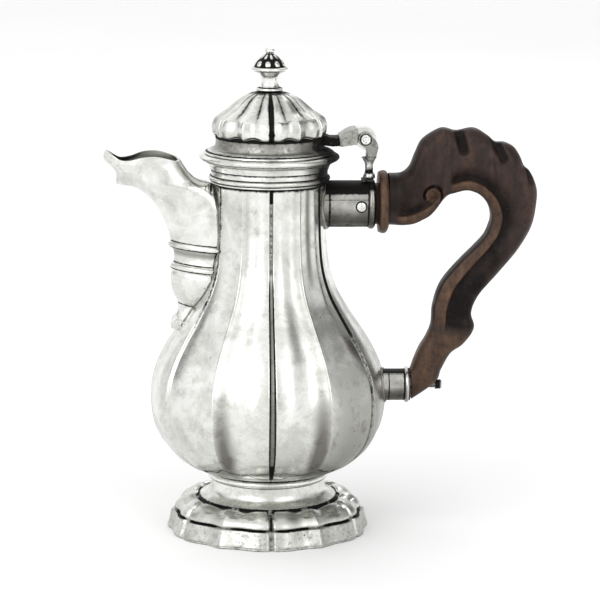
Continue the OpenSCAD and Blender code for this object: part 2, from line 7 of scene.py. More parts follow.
import math
from functools import partial

import bmesh
import bpy
import numpy as np
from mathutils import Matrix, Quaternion, Vector, noise


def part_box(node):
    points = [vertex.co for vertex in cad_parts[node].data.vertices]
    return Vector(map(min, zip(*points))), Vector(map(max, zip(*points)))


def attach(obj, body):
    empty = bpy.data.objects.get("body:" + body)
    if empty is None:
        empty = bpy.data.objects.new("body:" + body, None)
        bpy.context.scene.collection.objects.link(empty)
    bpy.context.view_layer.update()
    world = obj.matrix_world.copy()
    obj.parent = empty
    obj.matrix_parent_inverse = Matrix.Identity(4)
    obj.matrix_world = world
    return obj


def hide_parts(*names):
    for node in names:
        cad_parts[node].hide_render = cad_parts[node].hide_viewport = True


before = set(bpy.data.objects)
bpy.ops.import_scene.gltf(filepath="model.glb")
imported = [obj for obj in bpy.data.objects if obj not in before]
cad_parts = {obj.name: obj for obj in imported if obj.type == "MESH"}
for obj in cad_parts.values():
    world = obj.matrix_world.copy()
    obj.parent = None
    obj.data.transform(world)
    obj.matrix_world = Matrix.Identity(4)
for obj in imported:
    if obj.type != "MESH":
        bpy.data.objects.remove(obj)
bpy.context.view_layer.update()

MM = 0.001
POT = "pot"
LID = "lid"


# ---- places taken from the frame ----


def box(node):
    """Lowest and highest corner of a CAD node, in millimetres."""
    low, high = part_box(node)
    return low / MM, high / MM


def middle(node):
    """Middle of a CAD node's box, in millimetres."""
    low, high = box(node)
    return (low + high) / 2


BODY_LOW = box("body")[0].z
BODY_TOP = box("body")[1].z
MOUTH_TOP = box("mouth_moulding")[1].z
PIN = middle("hinge_pin")
PIN_HALF = box("hinge_pin")[1].y
UPPER = middle("upper_socket")
UPPER_R = (box("upper_socket")[1].z - box("upper_socket")[0].z) / 2
UPPER_END = box("upper_socket")[1].x
LOWER = middle("lower_socket")
LOWER_R = (box("lower_socket")[1].z - box("lower_socket")[0].z) / 2
LOWER_END = box("lower_socket")[1].x
RIVET = middle("upper_socket_pin")
RIVET_HALF = box("upper_socket_pin")[1].y
FLANGE_LOW = box("lid_flange")[0].z
DOME_LOW = box("lid_dome")[0].z
SPOOL_TOP = box("foot_spool")[1].z
SPOOL_LOW = box("foot_spool")[0].z
BAND_TOP = box("foot_band")[1].z
WIRE_TOP = box("foot_wire")[1].z
FOOT_R = box("foot_wire")[1].x


# ---- curves ----


def smooth(points, steps):
    """The smooth curve through rows of numbers, with that many steps from row to row."""
    rows = np.asarray(points, float)
    last = len(rows) - 1
    made = []
    for i in range(last):
        a, b, c, d = rows[max(i - 1, 0)], rows[i], rows[i + 1], rows[min(i + 2, last)]
        for k in range(steps):
            t = k / steps
            cubic = (3 * b - a - 3 * c + d) * t**3
            made.append(0.5 * (2 * b + (c - a) * t + (2 * a - 5 * b + 4 * c - d) * t * t + cubic))
    made.append(rows[last])
    return np.array(made)


def ease(x, a, b):
    """0 before a, 1 after b, and an easy slope between them."""
    t = np.clip((np.asarray(x, float) - a) / (b - a), 0, 1)
    return t * t * (3 - 2 * t)


def bell(x, at, wide):
    """1 where x is at, falling off to both sides over wide."""
    return np.exp(-(((x - at) / wide) ** 2))


def arc(centre, r, start, stop, steps):
    """Points on an arc, as pairs, from one angle in degrees to another."""
    turn = np.radians(np.linspace(start, stop, steps + 1))
    return [(centre[0] + r * math.cos(a), centre[1] + r * math.sin(a)) for a in turn]


def uneven(points, size, depth):
    """How far in the hammer has left each point: 0 to depth, in waves about size long."""
    flat = points.reshape(-1, 3) / size
    found = [0.5 + 0.5 * noise.noise(Vector(p)) for p in flat]
    return depth * np.array(found).reshape(points.shape[:-1])


def round_at(r, turn, z):
    """Points at a radius and height, at an angle in radians round the Z axis."""
    return np.stack(np.broadcast_arrays(r * np.cos(turn), r * np.sin(turn), z), axis=-1)


def beaten(points, turn, size, depth):
    """Points round the Z axis, driven in unevenly by the hammer."""
    return points - round_at(uneven(points, size, depth), turn, 0)


# ---- the lobed section ----
# Six narrow grooves and six soft ridges in turn. A full lobe rolls away from each side of a
# groove, and a hollow lies between the lobe and the ridge.

LOBE_AT = 7
HOLLOW_AT = 20
RIDGE_AT = 30
GROOVE_HALF = 1.45
GROOVE_FLOOR = 0.5


def from_groove(angle):
    """Angle from the nearest groove, 0 to 30 degrees."""
    return np.abs(np.mod(angle, 60) - 30)


def hollow(f):
    """How deep the hollow is at an angle from the groove, 0 to 1."""
    u = (f - HOLLOW_AT) / (RIDGE_AT - HOLLOW_AT)
    lobe_side = (1 - np.cos(np.pi * (f - LOBE_AT) / (HOLLOW_AT - LOBE_AT))) / 2
    ridge_side = 0.6 * np.cos(np.pi * u / 2) + 0.2 * (1 + np.cos(np.pi * u))
    return np.where(f < LOBE_AT, 0, np.where(f < HOLLOW_AT, lobe_side, ridge_side))


def front_or_back(turn):
    """Whether an angle in radians is by the groove in front or behind, which are the black ones."""
    return np.cos(turn) ** 2 < 0.1


def from_front(angle):
    """Angle from the front or the back, whichever is nearer, 0 to 90 degrees."""
    return np.abs(np.mod(angle + 180, 180) - 90)


def groove(distance):
    """How deep the groove is at a distance from its middle, 0 to 1."""
    return 1 - ease(distance, GROOVE_FLOOR, GROOVE_HALF)


def lobed(r, angle, flute, cut, wide=1):
    """A radius with hollows as deep as flute and grooves as deep as cut."""
    f = from_groove(angle)
    return r - flute * hollow(f) - cut * groove(np.radians(f) * r / wide)


def side_panel(angle):
    """0 on the panels beside the grooves in front and behind, 1 on the plainer ones at the sides."""
    return ease(from_front(angle), 28.5, 31.5)


def section_angles(fine, coarse):
    """All the angles of a section, with that many steps beside a groove and over a lobe."""
    near = np.linspace(0, 4.2, fine, endpoint=False)
    far = np.linspace(4.2, RIDGE_AT - 2.5, coarse - 5, endpoint=False)
    half = np.concatenate([near, far, RIDGE_AT - 2.5 * np.linspace(1, 0, 6)])
    whole = np.concatenate([half, 60 - half[-2:0:-1]])
    return np.concatenate([-90 + 60 * k + whole for k in range(6)])


# ---- meshes ----


def link(made):
    bpy.context.scene.collection.objects.link(made)
    return made


def place(name, mesh, sharp):
    """An object of a mesh, with its facing mended and its corners sharp past an angle."""
    work = bmesh.new()
    work.from_mesh(mesh)
    bmesh.ops.remove_doubles(work, verts=work.verts, dist=2e-6)
    bmesh.ops.recalc_face_normals(work, faces=work.faces)
    work.to_mesh(mesh)
    work.free()
    mesh.shade_smooth()
    mesh.set_sharp_from_angle(angle=math.radians(sharp))
    made = bpy.data.objects.new(name, mesh)
    return link(made)


def skinned(name, rows, wrap=True, closed=False, paint=None, skip=None, sharp=38):
    """A skin over rows of points. wrap joins each row's ends, closed joins the last row to the first.

    paint is named numbers for each point, and skip marks quads that are left out.
    """
    rows = np.asarray(rows, float)
    count, around = rows.shape[:2]
    j, i = np.meshgrid(
        np.arange(count if closed else count - 1),
        np.arange(around if wrap else around - 1),
        indexing="ij",
    )
    if skip is not None:
        kept = ~skip[: j.shape[0], : j.shape[1]]
        j, i = j[kept], i[kept]
    k, m = (j + 1) % count, (i + 1) % around
    corners = [j * around + i, j * around + m, k * around + m, k * around + i]
    faces = np.stack([c.ravel() for c in corners], axis=1)
    mesh = bpy.data.meshes.new(name)
    mesh.from_pydata((rows.reshape(-1, 3) * MM).tolist(), [], faces.tolist())
    for key, values in (paint or {}).items():
        layer = mesh.attributes.new(key, "FLOAT", "POINT")
        spread = np.broadcast_to(np.asarray(values, float), rows.shape[:2])
        layer.data.foreach_set("value", spread.ravel().astype(np.float32))
    return place(name, mesh, sharp)


AXES = {
    "z": lambda r, h, c, s: (r * c, r * s, h),
    "x": lambda r, h, c, s: (h, r * c, r * s),
    "y": lambda r, h, c, s: (r * c, h, r * s),
}


def turned(name, profile, axis="z", at=(0, 0, 0), steps=192, closed=False, paint=None, worn=0.06, sharp=32):
    """A profile of radius and height turned round an axis through a point, a little unevenly.

    paint is named numbers, one for each point of the profile, or a rule of height, cosine and sine.
    """
    profile = np.asarray(profile, float)
    turn = np.linspace(0, 2 * np.pi, steps, endpoint=False)
    r, c = np.meshgrid(profile[:, 0], np.cos(turn), indexing="ij")
    h, s = np.meshgrid(profile[:, 1], np.sin(turn), indexing="ij")
    rows = np.stack(AXES[axis](r, h, c, s), axis=-1) + np.asarray(at, float)
    if worn:
        pull = uneven(rows, 6, worn) * np.minimum(r, 1)
        centre = np.stack(AXES[axis](0 * r, h, c, s), axis=-1) + np.asarray(at, float)
        out = rows - centre
        rows = rows - out / np.maximum(r, 1e-6)[..., None] * pull[..., None]
    if paint is not None:
        paint = {
            key: v(h, c, s) if callable(v) else np.repeat(np.asarray(v, float)[:, None], steps, axis=1)
            for key, v in paint.items()
        }
    return skinned(name, rows, closed=closed, paint=paint, sharp=sharp)


def cut_plate(name, outline, low_y, high_y, edge=0.35, sharp=50, dull=0.3, tarnish=0.1):
    """A plate filed to an outline of x and z, between two y, with softened edges."""
    work = bmesh.new()
    near = [work.verts.new((x * MM, low_y * MM, z * MM)) for x, z in outline]
    far = [work.verts.new((x * MM, high_y * MM, z * MM)) for x, z in outline]
    work.faces.new(near)
    work.faces.new(far[::-1])
    for i in range(len(outline)):
        k = (i + 1) % len(outline)
        work.faces.new((near[i], far[i], far[k], near[k]))
    bmesh.ops.recalc_face_normals(work, faces=work.faces)
    corners = [e for e in work.edges if e.calc_face_angle(0) > math.radians(24)]
    bmesh.ops.bevel(
        work, geom=corners, offset=edge * MM, segments=3, profile=0.55, affect="EDGES", clamp_overlap=True
    )
    mesh = bpy.data.meshes.new(name)
    work.to_mesh(mesh)
    work.free()
    made = place(name, mesh, sharp)
    for key, level in (("dull", dull), ("tarnish", tarnish)):
        layer = mesh.attributes.new(key, "FLOAT", "POINT")
        layer.data.foreach_set("value", [level] * len(mesh.vertices))
    return made


def bead(name, points, radius, closed=False, lumps=0.35):
    """A run of solder or wire along points, fatter and thinner by chance."""
    line = bpy.data.curves.new(name, "CURVE")
    line.dimensions = "3D"
    line.bevel_depth = radius * MM
    line.bevel_resolution = 4
    line.use_fill_caps = True
    run = line.splines.new("POLY")
    run.points.add(len(points) - 1)
    run.use_cyclic_u = closed
    for point, p in zip(run.points, points):
        point.co = (p[0] * MM, p[1] * MM, p[2] * MM, 1)
        point.radius = 1 + lumps * noise.noise(Vector(p) / 1.6)
    made = bpy.data.objects.new(name, line)
    return link(made)


def fit(piece, material, body, slot, *nodes):
    """Gives a piece its material and the body it rides on, and hides the CAD nodes it stands for. Its slot
    is not used.
    """
    piece.data.materials.clear()
    piece.data.materials.append(material)
    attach(piece, body)
    if nodes:
        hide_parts(*nodes)
    return piece


# ---- materials ----


def colour(hexed):
    """The linear colour of an sRGB hex value."""
    parts = [int(hexed[i : i + 2], 16) / 255 for i in (1, 3, 5)]
    linear = [p / 12.92 if p <= 0.04045 else ((p + 0.055) / 1.055) ** 2.4 for p in parts]
    return (*linear, 1)


def add_node(tree, kind, settings=None, links=None):
    """Adds a node with its settings and links. Settings named stops are a ramp's places and colours."""
    made = tree.nodes.new("ShaderNode" + kind)
    for key, value in (settings or {}).items():
        if key == "stops":
            while len(made.color_ramp.elements) < len(value):
                made.color_ramp.elements.new(1)
            for element, (at, shade) in zip(made.color_ramp.elements, value):
                element.position = at
                element.color = colour(shade)
        elif isinstance(key, str) and hasattr(made, key):
            setattr(made, key, value)
        else:
            made.inputs[key].default_value = value
    for key, source in (links or {}).items():
        out = source.outputs[0] if hasattr(source, "outputs") else source
        tree.links.new(out, made.inputs[key])
    return made


def waves(size):
    """A texture scale for features that are size millimetres across."""
    return 1 / (size * MM)


TIMES = {"operation": "MULTIPLY"}
LARGER = {"operation": "MAXIMUM"}


def clumps(size, detail, roughness=0.5, distortion=0):
    """Settings of a noise whose features are size millimetres across."""
    return {"Scale": waves(size), "Detail": detail, "Roughness": roughness, "Distortion": distortion}


def span(start, stop, low=0, high=1):
    """Settings of a map from start and stop to low and high."""
    return {"From Min": start, "From Max": stop, "To Min": low, "To Max": high}


def new_material(name):
    """An empty material, and what adds nodes to it."""
    made = bpy.data.materials.new(name)
    made.use_nodes = True
    made.node_tree.nodes.clear()
    return made, partial(add_node, made.node_tree)


def aged_silver(name, bright, cloudy, stain, polish, dull, crevice_reach):
    """Sterling silver raised by hammer and worn by polishing. The open parts are pale and soft, with
    grey clouds where the polish has missed, fine rubbing scratches and a few pits. Black sulphide
    stays in every crevice and in the chased lines. The grey and black that the parts paint on also
    hold painted shade and painted dark reflections."""
    made, add = new_material(name)
    on = {"Vector": add("TexCoord").outputs["Object"]}
    clouds = add("TexNoise", clumps(15, 8, 0.68, 0.4), on)
    cloud = add("MapRange", span(0.42, 0.66), {"Value": clouds})
    # The dull paint is tarnish clouds, and on some parts painted shade and painted dark reflections.
    dull_here = add("Attribute", {"attribute_name": "dull"}).outputs["Fac"]
    clouded_here = add("Math", {"operation": "MULTIPLY_ADD", 1: 0.75, "use_clamp": True},
                       {0: dull_here, 2: cloud})
    smears = add("TexNoise", clumps(6, 5, 0.7), on)
    smear = add("MapRange", span(0.52, 0.76), {"Value": smears})

    # The tarnish paint is black sulphide, and on some parts painted shade and painted dark reflections.
    painted = add("Attribute", {"attribute_name": "tarnish"}).outputs["Fac"]
    nook = add("AmbientOcclusion", {"samples": 4, "Distance": crevice_reach * MM})
    nooks = add("MapRange", span(0.62, 0.3, 0, 0.55), {"Value": nook.outputs["AO"]})
    blotches = add("TexNoise", clumps(1.7, 5, 0.7), on)
    ragged = add("Math", {"operation": "MULTIPLY_ADD", 1: 0.9, 2: -0.45}, {0: blotches})
    both = add("Math", LARGER, {0: painted, 1: nooks})
    edge = add("Math", {"operation": "ADD"}, {0: both, 1: ragged})
    black = add("MapRange", span(0.34, 0.66), {"Value": edge})
    present = add("MapRange", span(0.03, 0.15), {"Value": both})
    tarnish = add("Math", TIMES, {0: black, 1: present})

    specks = add("TexVoronoi", {"Scale": waves(5.5), "Randomness": 1}, on)
    pit = add("MapRange", span(0.075, 0.045), {"Value": specks})
    worn_here = add("TexNoise", clumps(15, 2), on)
    pitted = add("MapRange", span(0.52, 0.6), {"Value": worn_here})
    pits = add("Math", TIMES, {0: pit, 1: pitted})

    first = add("MixRGB", {"Color1": colour(bright), "Color2": colour(cloudy)}, {"Fac": clouded_here})
    heavy = add("MapRange", span(0.35, 1.6, 0, 0.95), {"Value": dull_here})
    half_smear = add("Math", {"operation": "MULTIPLY_ADD", 1: 0.4, "use_clamp": True}, {0: smear, 2: heavy})
    second = add("MixRGB", {"Color2": colour(stain)}, {"Fac": half_smear, "Color1": first})
    marks = add("Math", LARGER, {0: tarnish, 1: pits})
    final = add("MixRGB", {"Color2": colour("#12100f")}, {"Fac": marks, "Color1": second})

    # Rubbing marks run both ways round the pot: long in one direction, a third of a millimetre wide.
    lines = []
    for tilt, stretch in ((0.5, (0.25, 0.25, 4)), (-0.9, (0.3, 0.3, 3))):
        mapped = add("Mapping", {"Rotation": (tilt, tilt / 2, 0), "Scale": stretch}, on)
        lines.append(add("TexNoise", clumps(2.2, 4, 0.75), {"Vector": mapped}))
    scratches = add("Math", TIMES, {0: lines[0], 1: lines[1]})
    scratch = add("MapRange", span(0.3, 0.42), {"Value": scratches})

    clouded = add("MapRange", span(0, 1, polish, dull), {"Value": clouded_here})
    rubbed = add("Math", {"operation": "MULTIPLY_ADD", 1: 0.07}, {0: scratch, 2: clouded})
    rough = add("Math", {"operation": "MULTIPLY_ADD", 1: 0.3}, {0: marks, 2: rubbed})

    planished = add("TexNoise", clumps(7, 2, 0.4), on)
    hammer = add("Bump", {"Strength": 0.35, "Distance": 0.25 * MM}, {"Height": planished})
    scored = add("Bump", {"Strength": 0.2, "Distance": 0.03 * MM}, {"Height": scratch, "Normal": hammer})
    sunk = add("Bump", {"Strength": 0.5, "Distance": 0.12 * MM, "invert": True},
               {"Height": marks, "Normal": scored})
    metal = add("MapRange", span(0, 1, 1, 0.2), {"Value": marks})
    gloss = add("MapRange", span(0, 1, 0.5, 0.12), {"Value": marks})
    shader = add("BsdfPrincipled", None,
                 {"Base Color": final, "Roughness": rough, "Metallic": metal, "Normal": sunk,
                  "Specular IOR Level": gloss})
    add("OutputMaterial", None, {"Surface": shader})
    return made


def carved_wood():
    """Dark fruitwood, carved and waxed. The hands have kept the mouldings warm and pale, with a painted
    highlight along the moulding's outer edge, and dirt and old wax with painted shade fill the hollows
    nearly black. Fine pores run along the grain, up the handle."""
    made, add = new_material("carved_fruitwood")
    on = {"Vector": add("TexCoord").outputs["Object"]}
    grain_room = add("Mapping", {"Rotation": (0, 0.5, 0), "Scale": (1, 1, 0.16)}, on)
    bands = add("TexNoise", clumps(5, 6, 0.6, 0.8), {"Vector": grain_room})
    band = add("ValToRGB", {"stops": [(0.3, "#231816"), (0.52, "#34251f"), (0.75, "#46322a")]},
               {"Fac": bands})
    fade = add("ValToRGB", {"stops": [(0.3, "#402e22"), (0.55, "#563f2e"), (0.8, "#70533d")]},
               {"Fac": bands})
    pale = add("Attribute", {"attribute_name": "pale"}).outputs["Fac"]
    dark = add("Attribute", {"attribute_name": "dark"}).outputs["Fac"]
    patches = add("TexNoise", clumps(7, 5, 0.65), on)
    patch = add("MapRange", span(0.35, 0.65, 0.72, 1.15), {"Value": patches})
    # pale is wear from the hands, and on the moulding strip also a painted highlight; dark is dirt with
    # painted shade in the carved hollows.
    rubbed = add("Math", {"operation": "MULTIPLY", "use_clamp": True}, {0: pale, 1: patch})
    grimed = add("Math", {"operation": "MULTIPLY", "use_clamp": True}, {0: dark, 1: patch})
    warm = add("MixRGB", None, {"Fac": rubbed, "Color1": band, "Color2": fade})
    nook = add("AmbientOcclusion", {"samples": 4, "Distance": 4 * MM})
    nooks = add("MapRange", span(0.8, 0.35, 0, 0.7), {"Value": nook.outputs["AO"]})
    handling = add("TexNoise", clumps(3.2, 6, 0.72), on)
    smudge = add("MapRange", span(0.46, 0.68, 0, 0.68), {"Value": handling})
    grime = add("Math", LARGER, {0: grimed, 1: nooks})
    dirt = add("Math", LARGER, {0: grime, 1: smudge})
    dirty = add("MixRGB", {"Color2": colour("#120e0d")}, {"Fac": dirt, "Color1": warm})
    pores = add("TexNoise", clumps(0.9, 3, 0.7), {"Vector": grain_room})
    pore = add("MapRange", span(0.6, 0.72, 0, 0.5), {"Value": pores})
    pored = add("MixRGB", {"Color2": colour("#1b1310")}, {"Fac": pore, "Color1": dirty})
    dusts = add("TexNoise", clumps(1.3, 5, 0.8), on)
    dust = add("MapRange", span(0.62, 0.74, 0, 0.4), {"Value": dusts})
    dust_here = add("Math", TIMES, {0: dust, 1: grimed})
    dusty = add("MixRGB", {"Color2": colour("#8b8580")}, {"Fac": dust_here, "Color1": pored})
    rough = add("MapRange", span(0.3, 0.7, 0.34, 0.55), {"Value": patches})
    ripple = add("Bump", {"Strength": 0.3, "Distance": 0.25 * MM}, {"Height": bands})
    dents = add("Bump", {"Strength": 0.3, "Distance": 0.3 * MM}, {"Height": patches, "Normal": ripple})
    holes = add("Bump", {"Strength": 0.5, "Distance": 0.06 * MM, "invert": True},
                {"Height": pore, "Normal": dents})
    sheen = add("MapRange", span(0, 1, 0.22, 0.07), {"Value": grime})
    shader = add("BsdfPrincipled", {"Coat Weight": 0.04, "Coat Roughness": 0.3, "IOR": 1.5},
                 {"Base Color": dusty, "Roughness": rough, "Normal": holes, "Specular IOR Level": sheen})
    add("OutputMaterial", None, {"Surface": shader})
    return made


SILVER = aged_silver("raised_silver", "#eeefeb", "#cbccc6", "#716f68", 0.17, 0.32, 1.6)
OLD_SILVER = aged_silver("unpolished_silver", "#c9c8c3", "#8b8984", "#4e4b46", 0.18, 0.36, 2.4)
SOLDER = aged_silver("grimy_solder", "#94918b", "#5c5954", "#2e2b28", 0.28, 0.42, 2.4)
WOOD = carved_wood()


# ---- body ----

BODY_LINE = smooth([
    [BODY_LOW, 25.2], [27.4, 31], [30.2, 36.3], [34, 41.2], [39.5, 46.1], [47, 49.6],
    [58, 51], [69, 49.9], [79, 46.1], [88, 40.7], [97, 34.7], [106, 29.5],
    [116, 26.2], [128, 24.8], [141, 24.4], [BODY_TOP, 24.4]], 8)
WALL = 1
NECK_START = 108
# The opening behind the spout, inside the strainer's plate: lowest, highest and half its angle
SPOUT_HOLE = (128, 146, 16)


def groove_width(z):
    """How wide the grooves are at a height: a fine line in the neck, widest low on the belly."""
    return np.interp(z, [28, 31, 38, 50, 66, 92, 115, 152], [0.3, 0.6, 1, 1.15, 1.05, 0.85, 0.7, 0.7])


def body_r(z, angle):
    """Radius of the body at a height and an angle, hollows and grooves included."""
    r = np.interp(z, BODY_LINE[:, 0], BODY_LINE[:, 1])
    flute = 0.042 * r * ease(z, 29.5, 39) * (1 - 0.58 * side_panel(angle))
    cut = np.minimum(1.5, 0.045 * r) * ease(z, 27, 33.5)
    ridge = bell(np.radians(RIDGE_AT - from_groove(angle)) * r, 0, 0.55) * ease(z, 33, 40)
    return lobed(r, angle, flute, cut, groove_width(z)) + 0.2 * ridge


def lobe_end(angle):
    """Height at which the lobes stop above the plain bottom: low beside a groove, high at a ridge."""
    f = from_groove(angle)
    ripple = 0.3 * np.sin(np.radians(angle * 17)) + 0.22 * np.sin(np.radians(angle * 41 + 60))
    return 29.4 + 3.4 * ease(f, 0, 30) + 0.5 * np.cos(np.radians(f * 24)) + ripple


def body_tarnish(z, a, r):
    """How black the body is: in its grooves, at the end of its lobes and at the joint on top."""
    turn = np.radians(a)
    wide = groove_width(z)
    arc_mm = np.radians(from_groove(a)) * r / wide
    # Only the grooves in front and behind are black. The others keep a thin line in the neck.
    in_neck = ease(z, NECK_START, NECK_START + 10)
    whole = groove(arc_mm * 0.95) * ease(z, 145, 147)
    specks = groove(arc_mm * 0.9) * 0.52 * in_neck
    lips = bell((arc_mm - 1.05) * wide, 0, 0.36) * 1.05 * (1 - in_neck)
    point = groove(arc_mm * 0.8) * (1 - ease(z, 34, 41))
    main_dark = np.maximum.reduce([whole, specks, lips, point]) * ease(z, 27.5, 30)
    right = ease(np.cos(turn), 0.3, 0.6)
    # Seen from in front or behind, it's the far wall of a side groove that shows.
    far_wall = np.sign(np.cos(turn)) * np.sign(-np.sin(turn))
    line_mm = 0.5 + 0.7 * right * bell(z, 88, 20)
    off_mm = np.radians(np.mod(a + 120, 60) - 30) * r - 0.9 * far_wall
    thin = bell(off_mm, 0, line_mm) * (0.2 + 0.45 * ease(z, 84, 100) + 0.4 * right)
    thin = thin * ease(z, 30, 36)
    rim = bell(z - lobe_end(a), -0.15, 0.5) * 0.85
    top_line = ease(z, BODY_TOP - 2.4, BODY_TOP - 0.2) * 0.85
    return np.maximum.reduce([np.where(front_or_back(turn), main_dark, thin), rim, top_line])


def body_grey(z, a, r):
    """How dull the body is: painted shade in the hollows beside the ridges, a painted darker reflection of
    the floor low on the belly, a painted dark reflection on the handle's side, and tarnish in the grooves.
    """
    f = from_groove(a)
    right = np.cos(np.radians(a))
    # Low on the belly the body is painted greyer, a painted darker reflection of the floor.
    low_belly = 1 - ease(z, 36, 76)
    at_side = side_panel(a)
    # Painted shade in the hollow beside each ridge, on the panels by the front and back grooves.
    trough = bell(f, 25.5, 4) * (1 - ease(at_side, 0.35, 0.65))
    trough = trough * (0.5 + 0.95 * low_belly * ease(z, 30, 38)) * (1 - ease(f, 29.2, 29.9))
    # Painted dark reflection on the handle's side, low down.
    by_handle = ease(right, 0.25, 0.75) * (1 - ease(z, 60, 105))
    # A grey streak up the neck on the handle's side.
    missed = bell(from_front(a), 41, 3.4) * (right > 0) * ease(z, 104, 120)
    grey = trough + 0.4 * low_belly + 0.12 * at_side + 0.75 * by_handle + 1.3 * missed
    arc_mm = np.radians(f) * r / groove_width(z)
    level = np.where(front_or_back(np.radians(a)), 1.5, 0.3)
    in_neck = ease(z, NECK_START, NECK_START + 10)
    return np.maximum(grey, groove(arc_mm * 0.9) * level * (1 - 0.7 * in_neck))


def raised_body():
    """The sheet of the body, outside and inside, with a hole behind the spout."""
    heights = np.concatenate([np.arange(BODY_LOW, 38, 0.45), np.arange(38, BODY_TOP, 1.0), [BODY_TOP]])
    z, a = np.meshgrid(heights, section_angles(9, 21), indexing="ij")
    turn = np.radians(a)
    r = body_r(z, a) + 0.6 * (ease(z, lobe_end(a) - 0.5, lobe_end(a) + 0.4) - 1)
    outer = round_at(r, turn, z)
    r = r - uneven(outer, 17, 0.3) - uneven(outer, 7, 0.07)
    outer = round_at(r, turn, z)
    inner = round_at(r - WALL, turn, np.maximum(z, BODY_LOW + WALL))
    to_axis = np.array([0, 0, 1])
    rows = np.concatenate([outer[:1] * to_axis, outer, inner[::-1], inner[:1] * to_axis])
    tarnish = body_tarnish(z, a, r)
    grey = body_grey(z, a, r)
    paint = {
        "tarnish": np.concatenate([tarnish[:1], tarnish, 0 * tarnish + 0.1, tarnish[:1]]),
        "dull": np.concatenate([grey[:1], grey, 0 * grey + 1, grey[:1]]),
    }
    low, high, half_angle = SPOUT_HOLE
    height = rows[..., 2]
    away = np.degrees(np.arctan2(rows[..., 1], -rows[..., 0]))
    opening = (height > low) & (height < high) & (np.abs(away) < half_angle)
    return skinned("raised_body", rows, paint=paint, skip=opening, sharp=55)


fit(raised_body(), SILVER, POT, "silver", "body")


# ---- mouth ----

MOUTH_R = 23.2


def by_the_hinge(profile, dark, dull):
    """Paint for a ring: its own dark lines, and a painted dark reflection over its side towards the hinge.
    """
    level = np.broadcast_to(np.asarray(dull, float), (len(profile),))

    def tarnish(h, c, s):
        # The ring's own dark lines, and a painted dark reflection on the side towards the hinge.
        return np.maximum(np.asarray(dark, float)[:, None], 0.72 * ease(c, 0.6, 0.86))

    def grey(h, c, s):
        # Greyer towards the hinge: a painted dark reflection.
        return level[:, None] + 1.2 * ease(c, 0.4, 0.8)

    return {"tarnish": tarnish, "dull": grey}


def neck_wires():
    """A thin wire and a thick one, soldered round the neck."""
    profile = [(MOUTH_R, BODY_TOP), (24.9, BODY_TOP)]
    profile += arc((25, BODY_TOP + 0.5), 0.42, -80, 80, 8)
    profile += [(24.85, BODY_TOP + 1.05)]
    profile += arc((25.3, BODY_TOP + 2.2), 0.95, -75, 80, 12)
    profile += [(25.1, BODY_TOP + 3.25), (25.1, BODY_TOP + 3.6), (MOUTH_R, BODY_TOP + 3.6)]
    heights = np.array(profile)[:, 1] - BODY_TOP
    lines = ((0.02, 0.16), (1.08, 0.24), (3.35, 0.3))
    dark = np.maximum.reduce([bell(heights, at, wide) for at, wide in lines])
    return turned("neck_wires", profile, paint=by_the_hinge(profile, dark, 0.25), steps=256)


def mouth_rim():
    """The mouth moulding: a band, a cove and a rolled edge, open in the middle."""
    base = BODY_TOP + 3.6
    profile = [(MOUTH_R, base), (25.15, base), (25.15, base + 1.9), (25.05, base + 2.1)]
    profile += smooth([(25.45, base + 2.35), (25.9, 159.6), (26.8, 161), (28.4, 161.9)], 6).tolist()
    profile += [(28.6, 162.25), (29.5, 162.45)]
    profile += arc((29.2, 163.5), 0.98, -62, 62, 10)
    profile += [(29, MOUTH_TOP - 0.08), (28.7, MOUTH_TOP), (24, MOUTH_TOP), (MOUTH_R, MOUTH_TOP - 0.7)]
    profile = np.array(profile)
    dark = bell(profile[:, 1] - base, 2.15, 0.32)
    dark = np.maximum(dark, bell(profile[:, 1], 162.25, 0.24) * (profile[:, 0] > 28))
    return turned("mouth_rim", profile, closed=True, paint=by_the_hinge(profile, dark, 0.2), steps=256)


fit(neck_wires(), SILVER, POT, "silver", "neck_ring")
fit(mouth_rim(), SILVER, POT, "silver", "mouth_moulding")


# ---- foot ----


def foot_r(r, angle, depth):
    """Radius of the foot, where depth is how far its lobes are formed, 0 to 1."""
    return lobed(r, angle, 1.5 * depth, 1.25 * depth)


def foot_shell(name, outline, paint_line):
    """A lobed shell round a closed outline of radius, height and depth of its lobes."""
    line = np.asarray(outline, float)
    angles = section_angles(8, 16)
    turn = np.radians(angles)
    f = from_groove(angles)
    # Painted shadow under the lobes: the dark lines are thickest under each lobe and thin at the grooves
    # and ridges.
    under_lobe = 0.45 + 0.55 * ease(f, 1, 6) * (1 - ease(f, 20, 28))
    rows = []
    marks = []
    for (r, z, depth), dark in zip(line, paint_line):
        dip = np.maximum(0.8 * hollow(f) ** 2, groove(np.radians(f) * r / 1.5))
        sag = 1.5 * dip * ease(r, 31.2, 33) * (z > 12.9)
        rows.append(beaten(round_at(foot_r(r, angles, depth), turn, z - sag), turn, 5, 0.16))
        # The grooves are blacker on the cushion than on the band.
        black = np.where(front_or_back(turn), 0.72 if z > 8 else 0.55, 0.3)
        in_groove = groove(np.radians(f) * r * 1.15) * depth * black
        chips = 0.34 * (z < 9) * (r > 38)
        marks.append(np.maximum.reduce([in_groove, dark * under_lobe, 0 * f + chips]))
    grey = 0.5 + 0.12 * (line[:, 1] < 9)
    paint = {"tarnish": np.array(marks), "dull": grey[:, None]}
    return skinned(name, rows, closed=True, paint=paint, sharp=60)


def foot_collar():
    """The half-round wire that hides the joint of the body and the spool."""
    outline = [(22.5, 0), (24.9, 0), (25.1, 0.3)] + arc((24.9, 1.85), 1.52, -78, 78, 14)
    outline += [(25, 3.55), (22.5, 3.6)]
    profile = [(r, SPOOL_TOP + h) for r, h in outline]
    dark = [0, 0.8, 0.4] + [0] * 13 + [0.5, 0.75, 0.8, 0]
    return turned("foot_collar_wire", profile, paint={"tarnish": dark}, steps=256)


